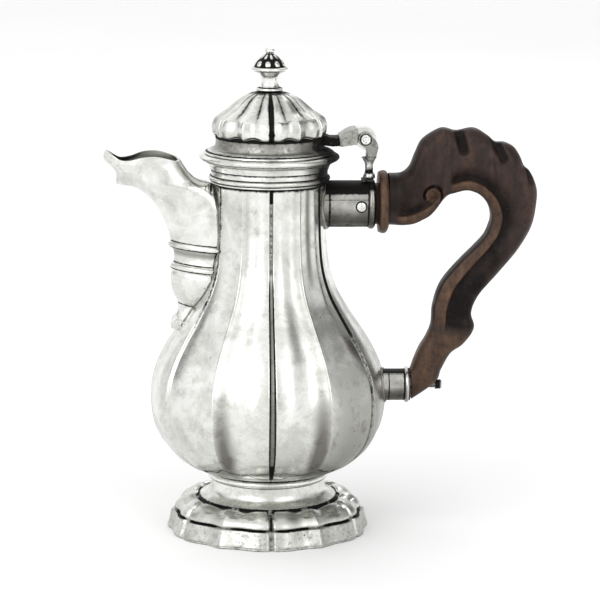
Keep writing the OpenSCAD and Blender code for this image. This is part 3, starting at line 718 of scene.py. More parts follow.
def foot_spool():
    """The waist of the foot, in plain round sheet."""
    outside = smooth([(30, SPOOL_LOW), (28.2, 15.4), (26.1, 16.8), (25.1, 18.8), (24.8, SPOOL_TOP)], 8)
    inside = outside[::-1] - np.array([1.2, 0])
    whole = np.concatenate([outside, inside])
    dark = 0.62 * (1 - ease(whole[:, 1], SPOOL_LOW, SPOOL_LOW + 0.35))
    paint = {"tarnish": dark, "dull": 0.3 + 0 * dark}
    return turned("foot_spool_raised", whole, closed=True, paint=paint, steps=256)


def foot_cushion():
    """The lobed cushion, with a valley between it and the spool."""
    outside = smooth([
        [29.4, SPOOL_LOW, 0], [30.2, 13.4, 0], [31.2, 13.3, 0.2], [32.2, 14.3, 0.6], [33.6, 14.85, 0.8],
        [36.2, 14.3, 1], [38.8, 12.5, 1], [40.4, 10.6, 1], [40.9, 9.2, 1], [40.6, BAND_TOP, 1]], 4)
    inside = smooth([
        [39.3, BAND_TOP, 1], [39.3, 9, 1], [38.7, 9.6, 1], [37.4, 10.8, 1], [35.2, 11.8, 1],
        [30.6, 11.8, 0], [29.4, 12.4, 0]], 1)
    r, z, _ = outside.T
    # Black in the valley by the spool, and in the corner over the band, where foot_shell thickens the
    # corner line under each lobe as painted shadow
    dark = np.maximum(0.95 * (r > 40.3) * (z < 8.6), 1.3 * (1 - ease(r, 31.5, 32.3))).tolist()
    return foot_shell("foot_cushion_chased", np.concatenate([outside, inside]), dark + [0] * len(inside))


def foot_band():
    """The upright band, with a small step at its top."""
    outside = [
        [40.6, BAND_TOP, 1], [42, BAND_TOP, 1], [42.3, BAND_TOP - 0.2, 1], [42.45, BAND_TOP - 0.6, 1],
        [42.9, 5, 1], [43.25, 3.7, 1], [43.6, 2.5, 1], [FOOT_R, WIRE_TOP + 0.6, 1], [FOOT_R, WIRE_TOP, 1]]
    inside = [[42.4, WIRE_TOP, 1], [42.1, 2.5, 1], [41.3, 5, 1], [40.4, 7, 1], [39.3, BAND_TOP, 1]]
    dark = [1, 0.8, 0.3, 0, 0, 0, 0, 0.2, 0.4] + [0] * len(inside)
    return foot_shell("foot_band_raised", outside + inside, dark)


def foot_wire():
    """The flat wire that the pot stands on."""
    outline = [
        [40, 0, 0], [FOOT_R - 0.25, 0, 1], [FOOT_R, 0.2, 1], [FOOT_R, WIRE_TOP - 0.2, 1],
        [FOOT_R - 0.2, WIRE_TOP, 1], [40, WIRE_TOP, 0]]
    return foot_shell("foot_edge_wire", outline, [0, 0, 0, 0, 0.5, 0])


fit(foot_collar(), SILVER, POT, "silver", "foot_collar")
fit(foot_spool(), SILVER, POT, "silver", "foot_spool")
fit(foot_cushion(), SILVER, POT, "silver", "foot_cushion")
fit(foot_band(), SILVER, POT, "silver", "foot_band")
fit(foot_wire(), SILVER, POT, "silver", "foot_wire")


# ---- spout ----

SEAT_BITE = 0.35
NECK_SEAM = 10.9
BEAK_WALL = 1.2
LIP = smooth([[0, 0], [0.1, -2], [0.19, -2.9], [0.33, -2], [0.47, -0.1],
              [0.61, 1], [0.72, 1.3], [0.86, 0.8], [1, 0]], 6)


def seam(z, e):
    """Place on the body at height z, and e from the middle plane, on the spout's side."""
    r = np.interp(z, BODY_LINE[:, 0], BODY_LINE[:, 1])
    angle = math.asin(min(abs(e) / r, 1))
    q = float(body_r(z, 180 - math.degrees(angle))) - SEAT_BITE
    return [-q * math.cos(angle), q * math.sin(angle), z]


def across(f, w, e, full_at, roundness):
    """Half width of a station at f from keel to rear."""
    rising = w * np.sin(np.pi / 2 * np.clip(f / full_at, 0, 1)) ** roundness
    fall = np.cos(np.pi / 2 * np.clip((f - full_at) / max(1 - full_at, 1e-6), 0, 1))
    return np.where(f <= full_at, rising, e + (w - e) * fall**0.2)


def station(s, inset, n):
    """Points from the rear on the near side, round the keel, to the rear on the far side."""
    keel = np.array([s[0], 0, s[1]])
    rear = np.array([s[2], 0, s[4]])
    way = (rear - keel) / np.linalg.norm(rear - keel)
    opened = s[3] > 0.05
    start = keel + way * inset
    stop = rear - way * (0 if opened else inset)
    f = np.abs(np.linspace(-1, 1, 2 * n + 1))
    side = np.sign(np.linspace(-1, 1, 2 * n + 1))
    g = f * (0.55 + 0.45 * f)
    half = across(g, s[5] - inset, max(s[3] - inset, 0.3) if opened else 0, s[6], s[8])
    points = start + (stop - start) * g[:, None]
    points[:, 1] = side * half
    points[:, 2] += s[7] * np.interp(g, LIP[:, 0], LIP[:, 1])
    return points


def beak(name, stations, paint_of, n=36):
    """The double skin of a run of stations, joined at both ends and along the rear."""
    outer = np.array([station(s, 0, n) for s in stations])
    inner = np.array([station(s, BEAK_WALL, n) for s in stations])
    found = np.array([[paint_of(p, abs(i - n) / n) for i, p in enumerate(row)] for row in outer])
    rows = np.concatenate([outer, inner[::-1]])
    marks, greys = found[..., 0], found[..., 1]
    dull = np.concatenate([greys, 0 * greys + 0.95])
    marks = np.concatenate([marks, 0 * marks])
    return skinned(name, rows, wrap=False, closed=True, paint={"tarnish": marks, "dull": dull}, sharp=40)


def spout():
    """The beak, from its lip down to the joint with the drop."""
    rough_cut = [
        [-70.2, 166.3, -38, 0, 161.9, 11.7, 0.58, 1, 0.9],
        [-71.1, 163.2, -37.4, 0, 160.8, 11.6, 0.57, 0.75, 0.85],
        [-70, 161.2, -36.9, 0, 159.9, 11.6, 0.56, 0.5, 0.8],
        [-67.4, 159, -36, 0, 158.6, 11.6, 0.55, 0.25, 0.8],
        [-65.6, 156, -35, 0, 157.2, 11.6, 0.55, 0.1, 0.8],
        [-65.4, 151.6, -32.4, 0, 154.7, 11.6, 0.55, 0, 0.8],
        [-60.5, 151, -29.6, 0, 153, 11.6, 0.56, 0, 0.8],
        [-55.2, 148.7, *seam(151.5, 0), 11.5, 0.6, 0, 0.75],
        [-50.6, 145, *seam(148.5, 5.5), 11.4, 0.68, 0, 0.7],
        [-47.2, 140.2, *seam(143.5, 9.3), 11.3, 0.76, 0, 0.65],
        [-44.6, 135, *seam(137, 10.5), 11.2, 0.84, 0, 0.62],
        [-43, 130.2, *seam(130, NECK_SEAM), 11.1, 0.92, 0, 0.6],
        [-42.3, 127, *seam(125.4, NECK_SEAM), NECK_SEAM, 1, 0, 0.6]]
    stations = smooth(rough_cut, 7)
    for s in stations[50:]:
        s[2:5] = seam(s[4], s[3])
    stations[:, 6] = np.minimum(stations[:, 6], 1)

    def dark(p, f):
        low = bell(p[2] - 125.6, 1.7 * (1 - f), 0.35)
        return max(low, float(ease(f, 0.965, 1)) * (0.85 if p[2] < 150 else 0.62)), 0.08

    return beak("spout_beak", stations, dark)


def spout_drop():
    """The cast drop under the beak, with its rings, bulb and tail."""
    outline = smooth([
        [-42.4, 127, 125.4, 11], [-43.3, 126.3, 124.6, 11.9], [-43.3, 124.9, 123.1, 11.9],
        [-41.4, 123.4, 121.7, 10.7], [-40.9, 120.6, 119, 10.2], [-41.3, 117.8, 116.3, 10.6],
        [-42.4, 116.9, 115.3, 11.5], [-42.4, 115.3, 113.6, 11.5], [-41.7, 114.3, 112.7, 10.9],
        [-42.3, 112.2, 110.8, 11.3], [-42.2, 108.6, 107.4, 10.6], [-41.3, 104.4, 103.4, 9],
        [-39.8, 101.3, 100.3, 6.4], [-39.2, 99.4, 98.6, 4.8], [-39.5, 96.6, 96, 4.5],
        [-40.9, 93.2, 92.8, 4.3], [-41.6, 90.6, 90.6, 3.6], [-41.4, 89.2, 89.2, 2.4]], 6)
    stations = [[p[0], p[1], *seam(p[2], p[3]), p[3], 1, 0, 0.6] for p in outline]
    lines = (123.9, 117.4, 114.6, 99.4)

    def dark(p, f):
        lift = 1.5 * (1 - f)
        ring = max(bell(p[2] - z - lift, -0.75, 0.42) for z in lines)
        # Dull in the cove under the upper ring: painted shadow.
        cove = 1.1 * bell(p[2] - 121.3, lift, 1.6)
        return max(0.82 * ring, float(ease(f, 0.93, 1)) * 0.9), 0.12 + cove

    return beak("spout_drop_cast", stations, dark)


def seam_points(side, low, high):
    """Points up the joint of the spout and the body, on one side."""
    edge = smooth([
        [89.2, 2.4], [92.8, 4.3], [96, 4.5], [98.6, 4.8], [100.3, 6.4], [103.4, 9], [107.4, 10.6],
        [110.8, 11.3], [115, 11.5], [119, 10.3], [123.9, 11.9], [126, 10.9], [137, 10.5], [143.5, 9.3],
        [148.5, 5.5], [151.5, 0.4]], 5)
    found = []
    for z, e in edge:
        if low <= z <= high:
            x, y, _ = seam(z, e)
            found.append((x - 0.15, side * (y + 0.1), z))
    return found


def end_plate():
    """The small square plate that closes the drop's tail."""
    outline = [(-42.4, 89.3), (-38.4, 88.4), (-35.9, 92.6), (-39.8, 94.6), (-42, 92.6)]
    return cut_plate("drop_end_plate", outline, -4.4, 4.4, edge=0.5)


fit(spout(), SILVER, POT, "silver", "spout")
fit(spout_drop(), SILVER, POT, "silver", "spout_drop")
fit(end_plate(), SILVER, POT, "silver")
for side, word in ((-1, "near"), (1, "far")):
    joint = bead("spout_solder_" + word, seam_points(side, 89, 151), 0.42, lumps=0.6)
    fit(joint, SOLDER, POT, "silver_dark")
    oval = [(-38.9 + math.cos(t), side * 4.45, 91.6 + 0.75 * math.sin(t)) for t in np.linspace(0, 6.1, 24)]
    fit(bead("drop_boss_" + word, oval, 0.32, closed=True, lumps=0.2), SILVER, POT, "silver")


# ---- sockets ----

SOCKET_WALL = 1.2


def junction(centre_z, r, steps=72, out=0.2):
    """Where a tube along X meets the body, as a closed run of points."""
    found = []
    for turn in np.linspace(0, 2 * np.pi, steps, endpoint=False):
        y, z = r * math.cos(turn), centre_z + r * math.sin(turn)
        if z > BODY_TOP - 0.2:
            z = BODY_TOP - 0.2
        x = 20
        for _ in range(4):
            here = float(body_r(z, math.degrees(math.atan2(y, x))))
            x = math.sqrt(max(here * here - y * y, 1))
        found.append((x + out, y, z))
    return found


def upper_dark(h, c, s):
    """The upper tube is black on its top as a painted dark reflection, in a stripe beside it and in a line
    at each end, and darker beneath as painted shade.
    """
    crown = ease(s, 0.39, 0.62)
    stripe = 0.75 * bell(s, 0.29, 0.022)
    ends = 1.1 * bell(h, 25.6, 0.5) + bell(h, UPPER_END, 0.5)
    under = 0.62 * ease(-s, 0.55, 0.98)
    return np.clip(np.maximum.reduce([crown, stripe, ends, under]), 0, 1)


def lower_dark(h, c, s):
    """The lower tube is black on its top as a painted dark reflection and in two lines, and darker beneath
    as painted shade.
    """
    crown = ease(s, 0.74, 0.88)
    lines = 0.95 * (bell(h, 52.3, 0.32) + bell(h, LOWER_END, 0.4))
    under = 0.6 * ease(-s, 0.7, 1)
    return np.clip(np.maximum.reduce([lines, crown, under]), 0, 1)


def tube_grey(h, c, s):
    """A socket is dull below, as painted shade, and bright in a stripe above its middle."""
    return 0.1 + 1.15 * ease(-s, -0.22, 0.6) + 0.25 * ease(np.abs(h - 34), 2, 7)


def tube(name, z, r, start, end, cuts, dark, worn):
    """A tube along X between two places, with that many rings of points."""
    profile = [(r - SOCKET_WALL, start)] + [(r - 0.06, x) for x in np.linspace(start, end, cuts)]
    profile += [(r - SOCKET_WALL, end)]
    return turned(name, profile, "x", (0, 0, z), paint={"tarnish": dark, "dull": tube_grey}, worn=worn)


def upper_socket():
    return tube("upper_socket_tube", UPPER.z, UPPER_R, 21, UPPER_END, 48, upper_dark, 0.1)


def upper_collar():
    x = UPPER_END
    bulge = [(1.12 * math.cos(t) - 0.35, 1.5 + 1.4 * math.sin(t)) for t in np.linspace(-1.2, 1.2, 11)]
    profile = [(-SOCKET_WALL, 0), (0, 0)] + bulge + [(-0.2, 3), (-SOCKET_WALL, 3)]
    profile = [(UPPER_R + r, x + h) for r, h in profile]

    def dark(h, c, s):
        # Black lines at both ends, and black on top as a painted dark reflection.
        edge = np.abs(h - x - 1.5) > 1.2
        return np.maximum(0.9 * edge, 0.8 * ease(s, 0.5, 0.7))

    paint = {"tarnish": dark, "dull": tube_grey}
    return turned("upper_socket_bead", profile, "x", (0, 0, UPPER.z), paint=paint)


def peened(name, at, half, head, head_dark, steps, worn):
    """A silver pin along Y with both ends peened over. head is rows of radius and depth, to the shank."""
    near = [(r, depth - half) for r, depth in head]
    far = [(r, -h) for r, h in near[::-1]]
    paint = {"tarnish": head_dark + head_dark[::-1]}
    return turned(name, near + far, "y", (at.x, 0, at.z), steps, paint=paint, worn=worn)


def rivet():
    head = [(0, 0), (0.8, 0.02), (1.5, 0.18), (1.95, 0.5), (2.05, 0.75), (2.5, 0.8), (2.6, 1.3), (1.4, 1.4)]
    dark = [0, 0, 0, 0.1, 0.9, 1, 1, 1]
    return peened("upper_socket_rivet", RIVET, RIVET_HALF, head, dark, 48, 0.03)


def lower_socket():
    return tube("lower_socket_tube", LOWER.z, LOWER_R, 48, LOWER_END, 40, lower_dark, 0.08)


def lower_collar():
    x = LOWER_END
    profile = [(-SOCKET_WALL, 0), (-0.05, 0), (0, 0.3), (0.55, 0.5), (0.86, 0.95), (0.9, 1.5), (0.62, 1.95),
               (0.1, 2.2), (0.05, 2.7), (-SOCKET_WALL, 2.7)]
    profile = [(LOWER_R + r, x + h) for r, h in profile]
    dark = [0, 0.9, 0.7, 0, 0, 0, 0, 0.8, 0.6, 0]
    return turned("lower_socket_bead", profile, "x", (0, 0, LOWER.z), paint={"tarnish": dark})


fit(upper_socket(), OLD_SILVER, POT, "silver_dark", "upper_socket")
fit(upper_collar(), OLD_SILVER, POT, "silver_dark", "upper_socket_collar")
fit(rivet(), SILVER, POT, "silver", "upper_socket_pin")
fit(lower_socket(), OLD_SILVER, POT, "silver_dark", "lower_socket")
fit(lower_collar(), OLD_SILVER, POT, "silver_dark", "lower_socket_collar")
upper_solder = bead("upper_socket_solder", junction(UPPER.z, UPPER_R), 0.7, True, 0.8)
fit(upper_solder, SOLDER, POT, "silver_dark")
lower_solder = bead("lower_socket_solder", junction(LOWER.z, LOWER_R, out=0), 0.6, True, 0.7)
fit(lower_solder, SOLDER, POT, "silver_dark")


# ---- handle ----

GRIP_T = 14.5
# Outer x and z, inner x and z, and thickness as a part of the grip's, from the flange over the
# crest and down to the heel.
HANDLE_LINE = [
    [51.4, 156.2, 51.4, 134, 1.35], [56.9, 156.8, 57.1, 133.9, 1.2], [60.3, 159.8, 62, 134.4, 1.1],
    [62.6, 165.5, 66, 136, 1.05], [66, 171.8, 70, 138.5, 1], [73.8, 176.2, 75.6, 145.3, 1],
    [80, 175.1, 79.5, 147.7, 1], [87.5, 176.2, 85, 149, 1], [93.4, 173.2, 89.2, 147.9, 1],
    [97, 170.3, 91.6, 146.3, 1], [101, 170, 93.2, 144.5, 1], [105.3, 167.8, 94.4, 142.8, 1],
    [108.2, 163.6, 95.2, 141, 1], [109.9, 159.7, 95.6, 139.4, 1], [112.4, 157.3, 95.8, 137.8, 1],
    [114.9, 152.4, 95.7, 136.2, 1], [115.9, 146, 95.3, 134.4, 1], [114, 134.1, 93.2, 129.5, 1],
    [108.5, 123.6, 88.8, 124.5, 0.98], [100.1, 113.1, 81.6, 117.2, 0.96], [91.5, 103, 74.6, 108.4, 0.94],
    [88.3, 95, 71.3, 99, 0.92], [89.6, 88.4, 70.6, 91, 0.9], [85, 81.6, 68.2, 84.8, 0.9],
    [79.4, 77.4, 65.4, 80, 0.88], [75.4, 70.3, 63, 74.2, 0.86], [72.8, 64.4, 62.1, 71.4, 0.84],
    [62.4, 56.9, 61.9, 70.7, 0.84]]
VOLUTE = (70.3, 147.2)
VOLUTE_R = 3.3
# Gouges cut into the crest: both ends, as x and z, and half width.
GOUGES = [
    ((80.6, 177), (83.2, 166.5), 2.5),
    ((96.3, 172), (100.4, 163.2), 2.4),
    ((111.2, 159.5), (112.6, 153), 1.7),
]
# How wide the side of the handle is at a distance from its inner edge, in millimetres.
CARVED = smooth([[0, 0.46], [0.35, 0.68], [0.9, 0.78], [2.3, 0.88], [3.4, 0.92], [4, 0.85], [4.4, 0.6],
                 [5.6, 0.56], [7.5, 0.66], [10, 0.84], [13, 0.96], [17, 1], [30, 1]], 5)


def to_segment(x, z, a, b):
    """Distance from points to a line between two places, and how far along it, 0 to 1."""
    along = np.array([b[0] - a[0], b[1] - a[1]])
    t = np.clip(((x - a[0]) * along[0] + (z - a[1]) * along[1]) / (along @ along), 0, 1)
    return np.hypot(x - a[0] - t * along[0], z - a[1] - t * along[1]), t


def carved_handle():
    """The grip, carved with a moulding on its inner side, a volute and gouges over the crest."""
    fine = 14
    line = smooth(HANDLE_LINE, fine)
    half_n = 60
    rows, pale, dark = [], [], []
    for number, (ox, oz, ix, iz, thick) in enumerate(line):
        at = number / fine
        reach = math.hypot(ox - ix, oz - iz)
        half = thick * GRIP_T / 2
        s = reach * (1 - np.cos(np.linspace(0, np.pi, half_n))) / 2
        s = 0.35 * s + 0.65 * np.linspace(0, reach, half_n)
        u = np.clip(2 * s / reach - 1, -1, 1)
        plain = (1 - np.abs(u) ** (2 / 0.7)) ** 0.35
        on_root = ease(at, 0.2, 1.2) * (1 - ease(at, 4.3, 5.1))
        carve = ease(at, 5.3, 6.3) * (1 - ease(at, 21.6, 22.6)) + 0.8 * on_root
        rim = (1 - np.clip((s - reach + 9) / 9, 0, 1) ** 2.4) ** 0.55
        # The moulding and its trench widen from the volute to the heel.
        m = s * 4.3 / np.interp(at, [4, 8, 12, 16], [4.8, 4.8, 5.6, 6.2])
        shaped = np.interp(m, CARVED[:, 0], CARVED[:, 1]) * np.where(s > reach - 9, rim, 1)
        width = half * (plain * (1 - carve) + shaped * carve)
        width[0] = 0 if carve < 0.01 else width[0]
        width[-1] = 0
        x = ix + (ox - ix) * s / reach
        z = iz + (oz - iz) * s / reach
        flat_side = ease(width / half, 0.35, 0.8)
        ditch = 0 * s
        for a, b, wide in GOUGES:
            away, along = to_segment(x, z, a, b)
            ditch = np.maximum(ditch, (1 - ease(away, 0.3 * wide, wide * 1.25)) * (1 - 0.35 * along))
        eye = np.hypot(x - VOLUTE[0], z - VOLUTE[1])
        boss = 1 - ease(eye, VOLUTE_R - 0.3, VOLUTE_R + 0.3)
        curl = np.arctan2(z - VOLUTE[1], x - VOLUTE[0])
        spiral = np.abs(eye - 1.7 - 0.55 * curl / np.pi)
        ring = bell(eye - VOLUTE_R, 0.55, 0.45) * ease(z, VOLUTE[1] - 3, VOLUTE[1] - 1)
        cut_line = np.maximum(ring, 0.3 * bell(spiral, 0, 0.28) * boss)
        width = width - flat_side * (2.6 * ditch + 1.4 * cut_line) + flat_side * boss * 0.8
        width = np.maximum(width, 0)
        # The strip is painted paler towards its outer edge: a painted highlight on its rounded face.
        strip = ease(s, 0.5, 1.1) * (1 - ease(m, 3.9, 4.4)) * (0.62 + 0.38 * ease(m, 1.4, 3.2))
        moulding = strip * np.minimum(carve * 1.25, 1)
        # The trench beside it is painted dark: dirt, with painted shade in the deep cove.
        deepest = ease(at, 17, 20)
        trench = ease(m, 4.1, 4.5) * (1 - ease(m, 5 + 5 * deepest, 11.5 + 6 * deepest))
        trench = trench * np.minimum(carve * 1.2, 1) * (1 - boss)
        heel = ease(at, 22.2, 22.9)
        root = (1 - ease(x, 57, 73)) * ease(s, 4.5, 8) * 0.8
        inner_face = (1 - ease(s, 0.35, 0.95)) * carve
        light = np.maximum.reduce([moulding, 0 * s + heel * 0.75, boss]) - cut_line - ditch
        light = np.clip(light, 0, 1)
        deep = np.maximum.reduce([trench, ditch * 1.6, cut_line * 1.5, inner_face, root * (1 - boss)])
        deep = np.clip(deep, 0, 1)
        near = np.stack([x, -width, z], axis=-1)
        far = np.stack([x, width, z], axis=-1)[::-1]
        rows.append(np.concatenate([near, far]))
        pale.append(np.concatenate([light, light[::-1]]))
        dark.append(np.concatenate([deep, deep[::-1]]))
    rows = np.array(rows)
    rows = rows - (rows - rows.mean(axis=1, keepdims=True)) * uneven(rows, 9, 0.012)[..., None]
    tip = np.repeat(rows[-1].mean(axis=0)[None, None], rows.shape[1], axis=1)
    root_end = np.repeat(rows[0].mean(axis=0)[None, None], rows.shape[1], axis=1)
    rows = np.concatenate([root_end, rows, tip])
    pale = np.array([pale[0]] + pale + [pale[-1]])
    dark = np.array([dark[0]] + dark + [dark[-1]])
    return skinned("carved_handle", rows, paint={"pale": pale, "dark": dark}, sharp=62)


def handle_flange():
    """The turned flange that butts against the socket, with its bead and the neck behind it."""
    profile = smooth([
        (0, 1.6), (12, 1.6), (13, 1.9), (13.5, 2.6), (13.7, 3.6), (13.6, 4.4), (13.1, 5.1), (12.2, 5.6),
        (11.3, 5.9), (9, 6.1), (0, 6.1)], 3)
    profile[:, 1] += UPPER_END + 3
    between = np.linspace(0, 10, len(profile))
    paint = {
        "pale": np.interp(between, range(11), [0.2, 0.3, 0.6, 1, 1, 1, 0.8, 0.2, 0, 0, 0]),
        "dark": np.interp(between, range(11), [0.6, 0.5, 0.2, 0, 0, 0, 0.1, 0.7, 0.9, 0.8, 0.6]),
    }
    at = (0, 0, UPPER.z + 0.8)
    return turned("handle_flange", profile, "x", at, 160, paint=paint, worn=0.12, sharp=50)


def upper_tenon():
    start = box("handle")[0].x
    stop = UPPER_END + 5
    profile = smooth([(0, start), (8.2, start), (8.8, start + 0.8), (8.85, stop), (0, stop)], 2)
    return turned("handle_tenon", profile, "x", (0, 0, UPPER.z), 96, worn=0.05)


def lower_tenon():
    profile = smooth([(0, 53), (5.3, 53), (5.65, 53.6), (5.65, 62.8), (0, 63.2)], 2)
    return turned("handle_lower_tenon", profile, "x", (0, 0, LOWER.z), 96, worn=0.05)


def bolt():
    """The bolt's stub: a stained shank and a riveted end with a burred edge."""
    end = box("handle_bolt")[1].x
    head = [(1.6, 2.8), (2.1, 2.8), (2.2, 2.3), (2.05, 1.4), (2.2, 0.6), (1.8, 0.1), (0.9, 0), (0, 0)]
    profile = [(0, 52), (1.6, 52)] + [(r, end - depth) for r, depth in head]
    dark = [0, 0, 0.6, 0.9, 0.7, 0.9, 0.5, 0.3, 0.1, 0]
    return turned("handle_bolt_stub", profile, "x", (0, 0, LOWER.z), 48, paint={"tarnish": dark}, worn=0.2)


fit(carved_handle(), WOOD, POT, "wood", "handle")
fit(handle_flange(), WOOD, POT, "wood")
fit(upper_tenon(), WOOD, POT, "wood")
fit(lower_tenon(), WOOD, POT, "wood")
fit(bolt(), OLD_SILVER, POT, "silver_dark", "handle_bolt")


# ---- hinge ----

KNUCKLE_R = 3.2
TONGUE_R = 4.8
TONGUE_W = 5.4
HINGE_W = 11.6
GAP = 0.3
LUG_W = (HINGE_W - TONGUE_W) / 2 - GAP
POST_X = 42.9
ARM_END = PIN.x - KNUCKLE_R - GAP
ARM_TOP = PIN.z + TONGUE_R


def lug(name, side):
    """One of the two lugs: a round eye for the pin, swelling down into the post."""
    hx, hz = PIN.x, PIN.z
    eye = arc((hx, hz), KNUCKLE_R, 240, 14, 26)
    down = smooth([
        (hx + 3.1, hz + 0.8), (hx + 4.9, hz - 1.2), (hx + 5.5, hz - 3.2), (hx + 5.1, 166),
        (hx + 4.6, 164)], 4)
    up = smooth([(hx + 0.9, 164), (hx + 0.8, 165.8), (hx + 0.1, 167.4), (hx - 1.5, hz - 2.8)], 4)
    outline = eye + down[1:].tolist() + up.tolist()
    low_y = side * (HINGE_W - LUG_W) / 2 - LUG_W / 2
    return cut_plate(name, outline, low_y, low_y + LUG_W, edge=0.5, dull=1.15, tarnish=0.4)


def post_web():
    """The web that joins the lugs over the post."""
    hx = PIN.x
    outline = [
        (hx + 5.3, PIN.z - 3.4), (hx + 4.6, 164), (hx + 3.7, 162.4), (hx + 0.8, 162.4), (hx + 0.7, 164.4),
        (hx + 0.9, 165.8), (hx + 4, 167.3)]
    half = HINGE_W / 2 - 0.4
    return cut_plate("hinge_web", outline, -half, half, edge=0.5, dull=1.2, tarnish=0.46)


def post():
    """The post under the lugs: a turned neck and a small round base."""
    low = box("hinge_bracket")[0].z
    profile = smooth([
        (0, 0), (2.5, 0), (2.8, 0.8), (2.5, 1.9), (1.95, 2.7), (1.85, 4.4), (2.1, 6.6), (2.9, 8.4),
        (3.3, 9.2), (0, 9.4)], 4)
    paint = {"tarnish": np.interp(profile[:, 1], [0, 1.9, 2.6, 6, 8.6], [0.7, 0.2, 0.8, 0.3, 0.6])}
    at = (POST_X, 0, low)
    return turned("hinge_post", profile, "z", at, 64, paint=paint, worn=0.25, sharp=60)


def saddle():
    low, high = box("hinge_saddle")
    top = UPPER.z + UPPER_R
    outline = [
        (low.x + 0.2, top - 0.4), (high.x, top - 0.2), (high.x - 0.4, high.z - 0.3), (high.x - 1.4, high.z),
        (low.x + 1.2, high.z), (low.x, high.z - 0.4)]
    return cut_plate("hinge_saddle_plate", outline, low.y, high.y, edge=0.35, dull=0.9, tarnish=0.6)


def pin():
    head = [(0, 0), (0.9, 0.05), (1.2, 0.22), (1.45, 0.08), (1.9, 0.06), (2.2, 0.4), (2.25, 0.7),
            (2.6, 0.72), (2.65, 1.1), (1.5, 1.1)]
    dark = [0, 0, 0.6, 0, 0, 0.1, 0.95, 1, 1, 1]
    return peened("hinge_pin_peened", PIN, PIN_HALF, head, dark, 64, 0.04)


def arm_root():
    """The low end of the arm, soldered to the neck of the lid."""
    outline = [
        (22.6, 168.8), (27, 168.3), (31.4, 168.6), (31.4, 172.6), (29, 172.2), (26, 172.2), (24.2, 173),
        (22.6, 173)]
    half = HINGE_W / 2 - 0.7
    return cut_plate("lid_arm_root", outline, -half, half, dull=1.1, tarnish=0.72)


def arm_block():
    """The strap of the arm, which swells into a heavy block beside the pin."""
    outline = [(30.2, 168.2), (ARM_END, 169.3), (ARM_END, ARM_TOP - 0.3)]
    outline += smooth([
        (ARM_END - 0.6, ARM_TOP), (ARM_END - 3, ARM_TOP - 0.5), (ARM_END - 5, ARM_TOP - 1.5),
        (ARM_END - 7, ARM_TOP - 2.8), (29.6, 172.9)], 3).tolist()
    half = HINGE_W / 2
    return cut_plate("lid_arm_block", outline, -half, half, edge=0.6, dull=1.0, tarnish=0.38)


def arm_tongue():
    """The tongue that turns on the pin, between the lugs."""
    outline = arc((PIN.x, PIN.z), TONGUE_R, -95, 92, 26) + [(ARM_END - 0.8, ARM_TOP), (ARM_END - 0.8, 169)]
    return cut_plate("lid_arm_tongue", outline, -TONGUE_W / 2, TONGUE_W / 2, edge=0.3)


fit(lug("hinge_lug_near", -1), SILVER, POT, "silver", "hinge_bracket")
fit(lug("hinge_lug_far", 1), SILVER, POT, "silver")
fit(post_web(), SILVER, POT, "silver")
fit(post(), SILVER, POT, "silver")
fit(saddle(), OLD_SILVER, POT, "silver_dark", "hinge_saddle")
fit(pin(), SILVER, POT, "silver", "hinge_pin")
fit(arm_root(), SILVER, LID, "silver")
fit(arm_block(), SILVER, LID, "silver", "lid_hinge_arm")
fit(arm_tongue(), SILVER, LID, "silver")


# ---- lid ----

STEM_R = 1.6
LID_FLANGE_R = box("lid_flange")[1].x
# Inside radius of the lid's neck, and of the bezel under it
LID_NECK_R = 21.4
BEZEL_R = 20.6


def dome_r(r, angle):
    """Radius of the dome at an angle, from the radius of its plain outline."""
    fade = ease(r, 3, 8)
    return lobed(r, angle, 0.068 * r * fade, min(1.5, 0.08 * r) * fade)


def lid_flange():
    """The flange that rests on the mouth, and the hollow neck on it."""
    low = FLANGE_LOW
    edge = LID_FLANGE_R
    neck = smooth([(25.7, low + 1.75), (25.3, 166.95), (24, 167.5), (23.35, 168.8), (23.1, 170.4),
                   (23.3, DOME_LOW)], 6)
    profile = [(BEZEL_R, low), (edge - 0.4, low), (edge - 0.1, low + 0.2), (edge, low + 0.5),
               (edge - 0.1, low + 0.8), (edge - 0.35, low + 1), (26.9, low + 1.15), (26.75, low + 1.3),
               (26.55, low + 1.65)]
    ends = [(LID_NECK_R, DOME_LOW), (LID_NECK_R, 169), (BEZEL_R, 168)]
    whole = np.array(profile + neck.tolist() + ends)
    dark = bell(whole[:, 1] - low, 1.2, 0.24) * (whole[:, 0] > 26)
    # A dark band at the joint under the dome's edge, with painted shade under its lip.
    dark = np.maximum(dark, 1.1 * bell(whole[:, 1], DOME_LOW, 0.9))
    grey = 0.2 + ease(whole[:, 1], 166, 167.6) * 0.95
    dark = np.maximum(dark, 0.34 * (whole[:, 1] > 166.4) * (whole[:, 0] > 22))
    return turned("lid_flange_raised", whole, closed=True, paint=by_the_hinge(whole, dark, grey), steps=256)


# How narrow the black line of the front groove is, at heights over the dome's edge
DROP_AT = [0.4, 1.4, 3.2, 5.6, 8, 14, 18]
DROP = [2.4, 1.1, 0.6, 1.2, 0.85, 0.75, 1.2]


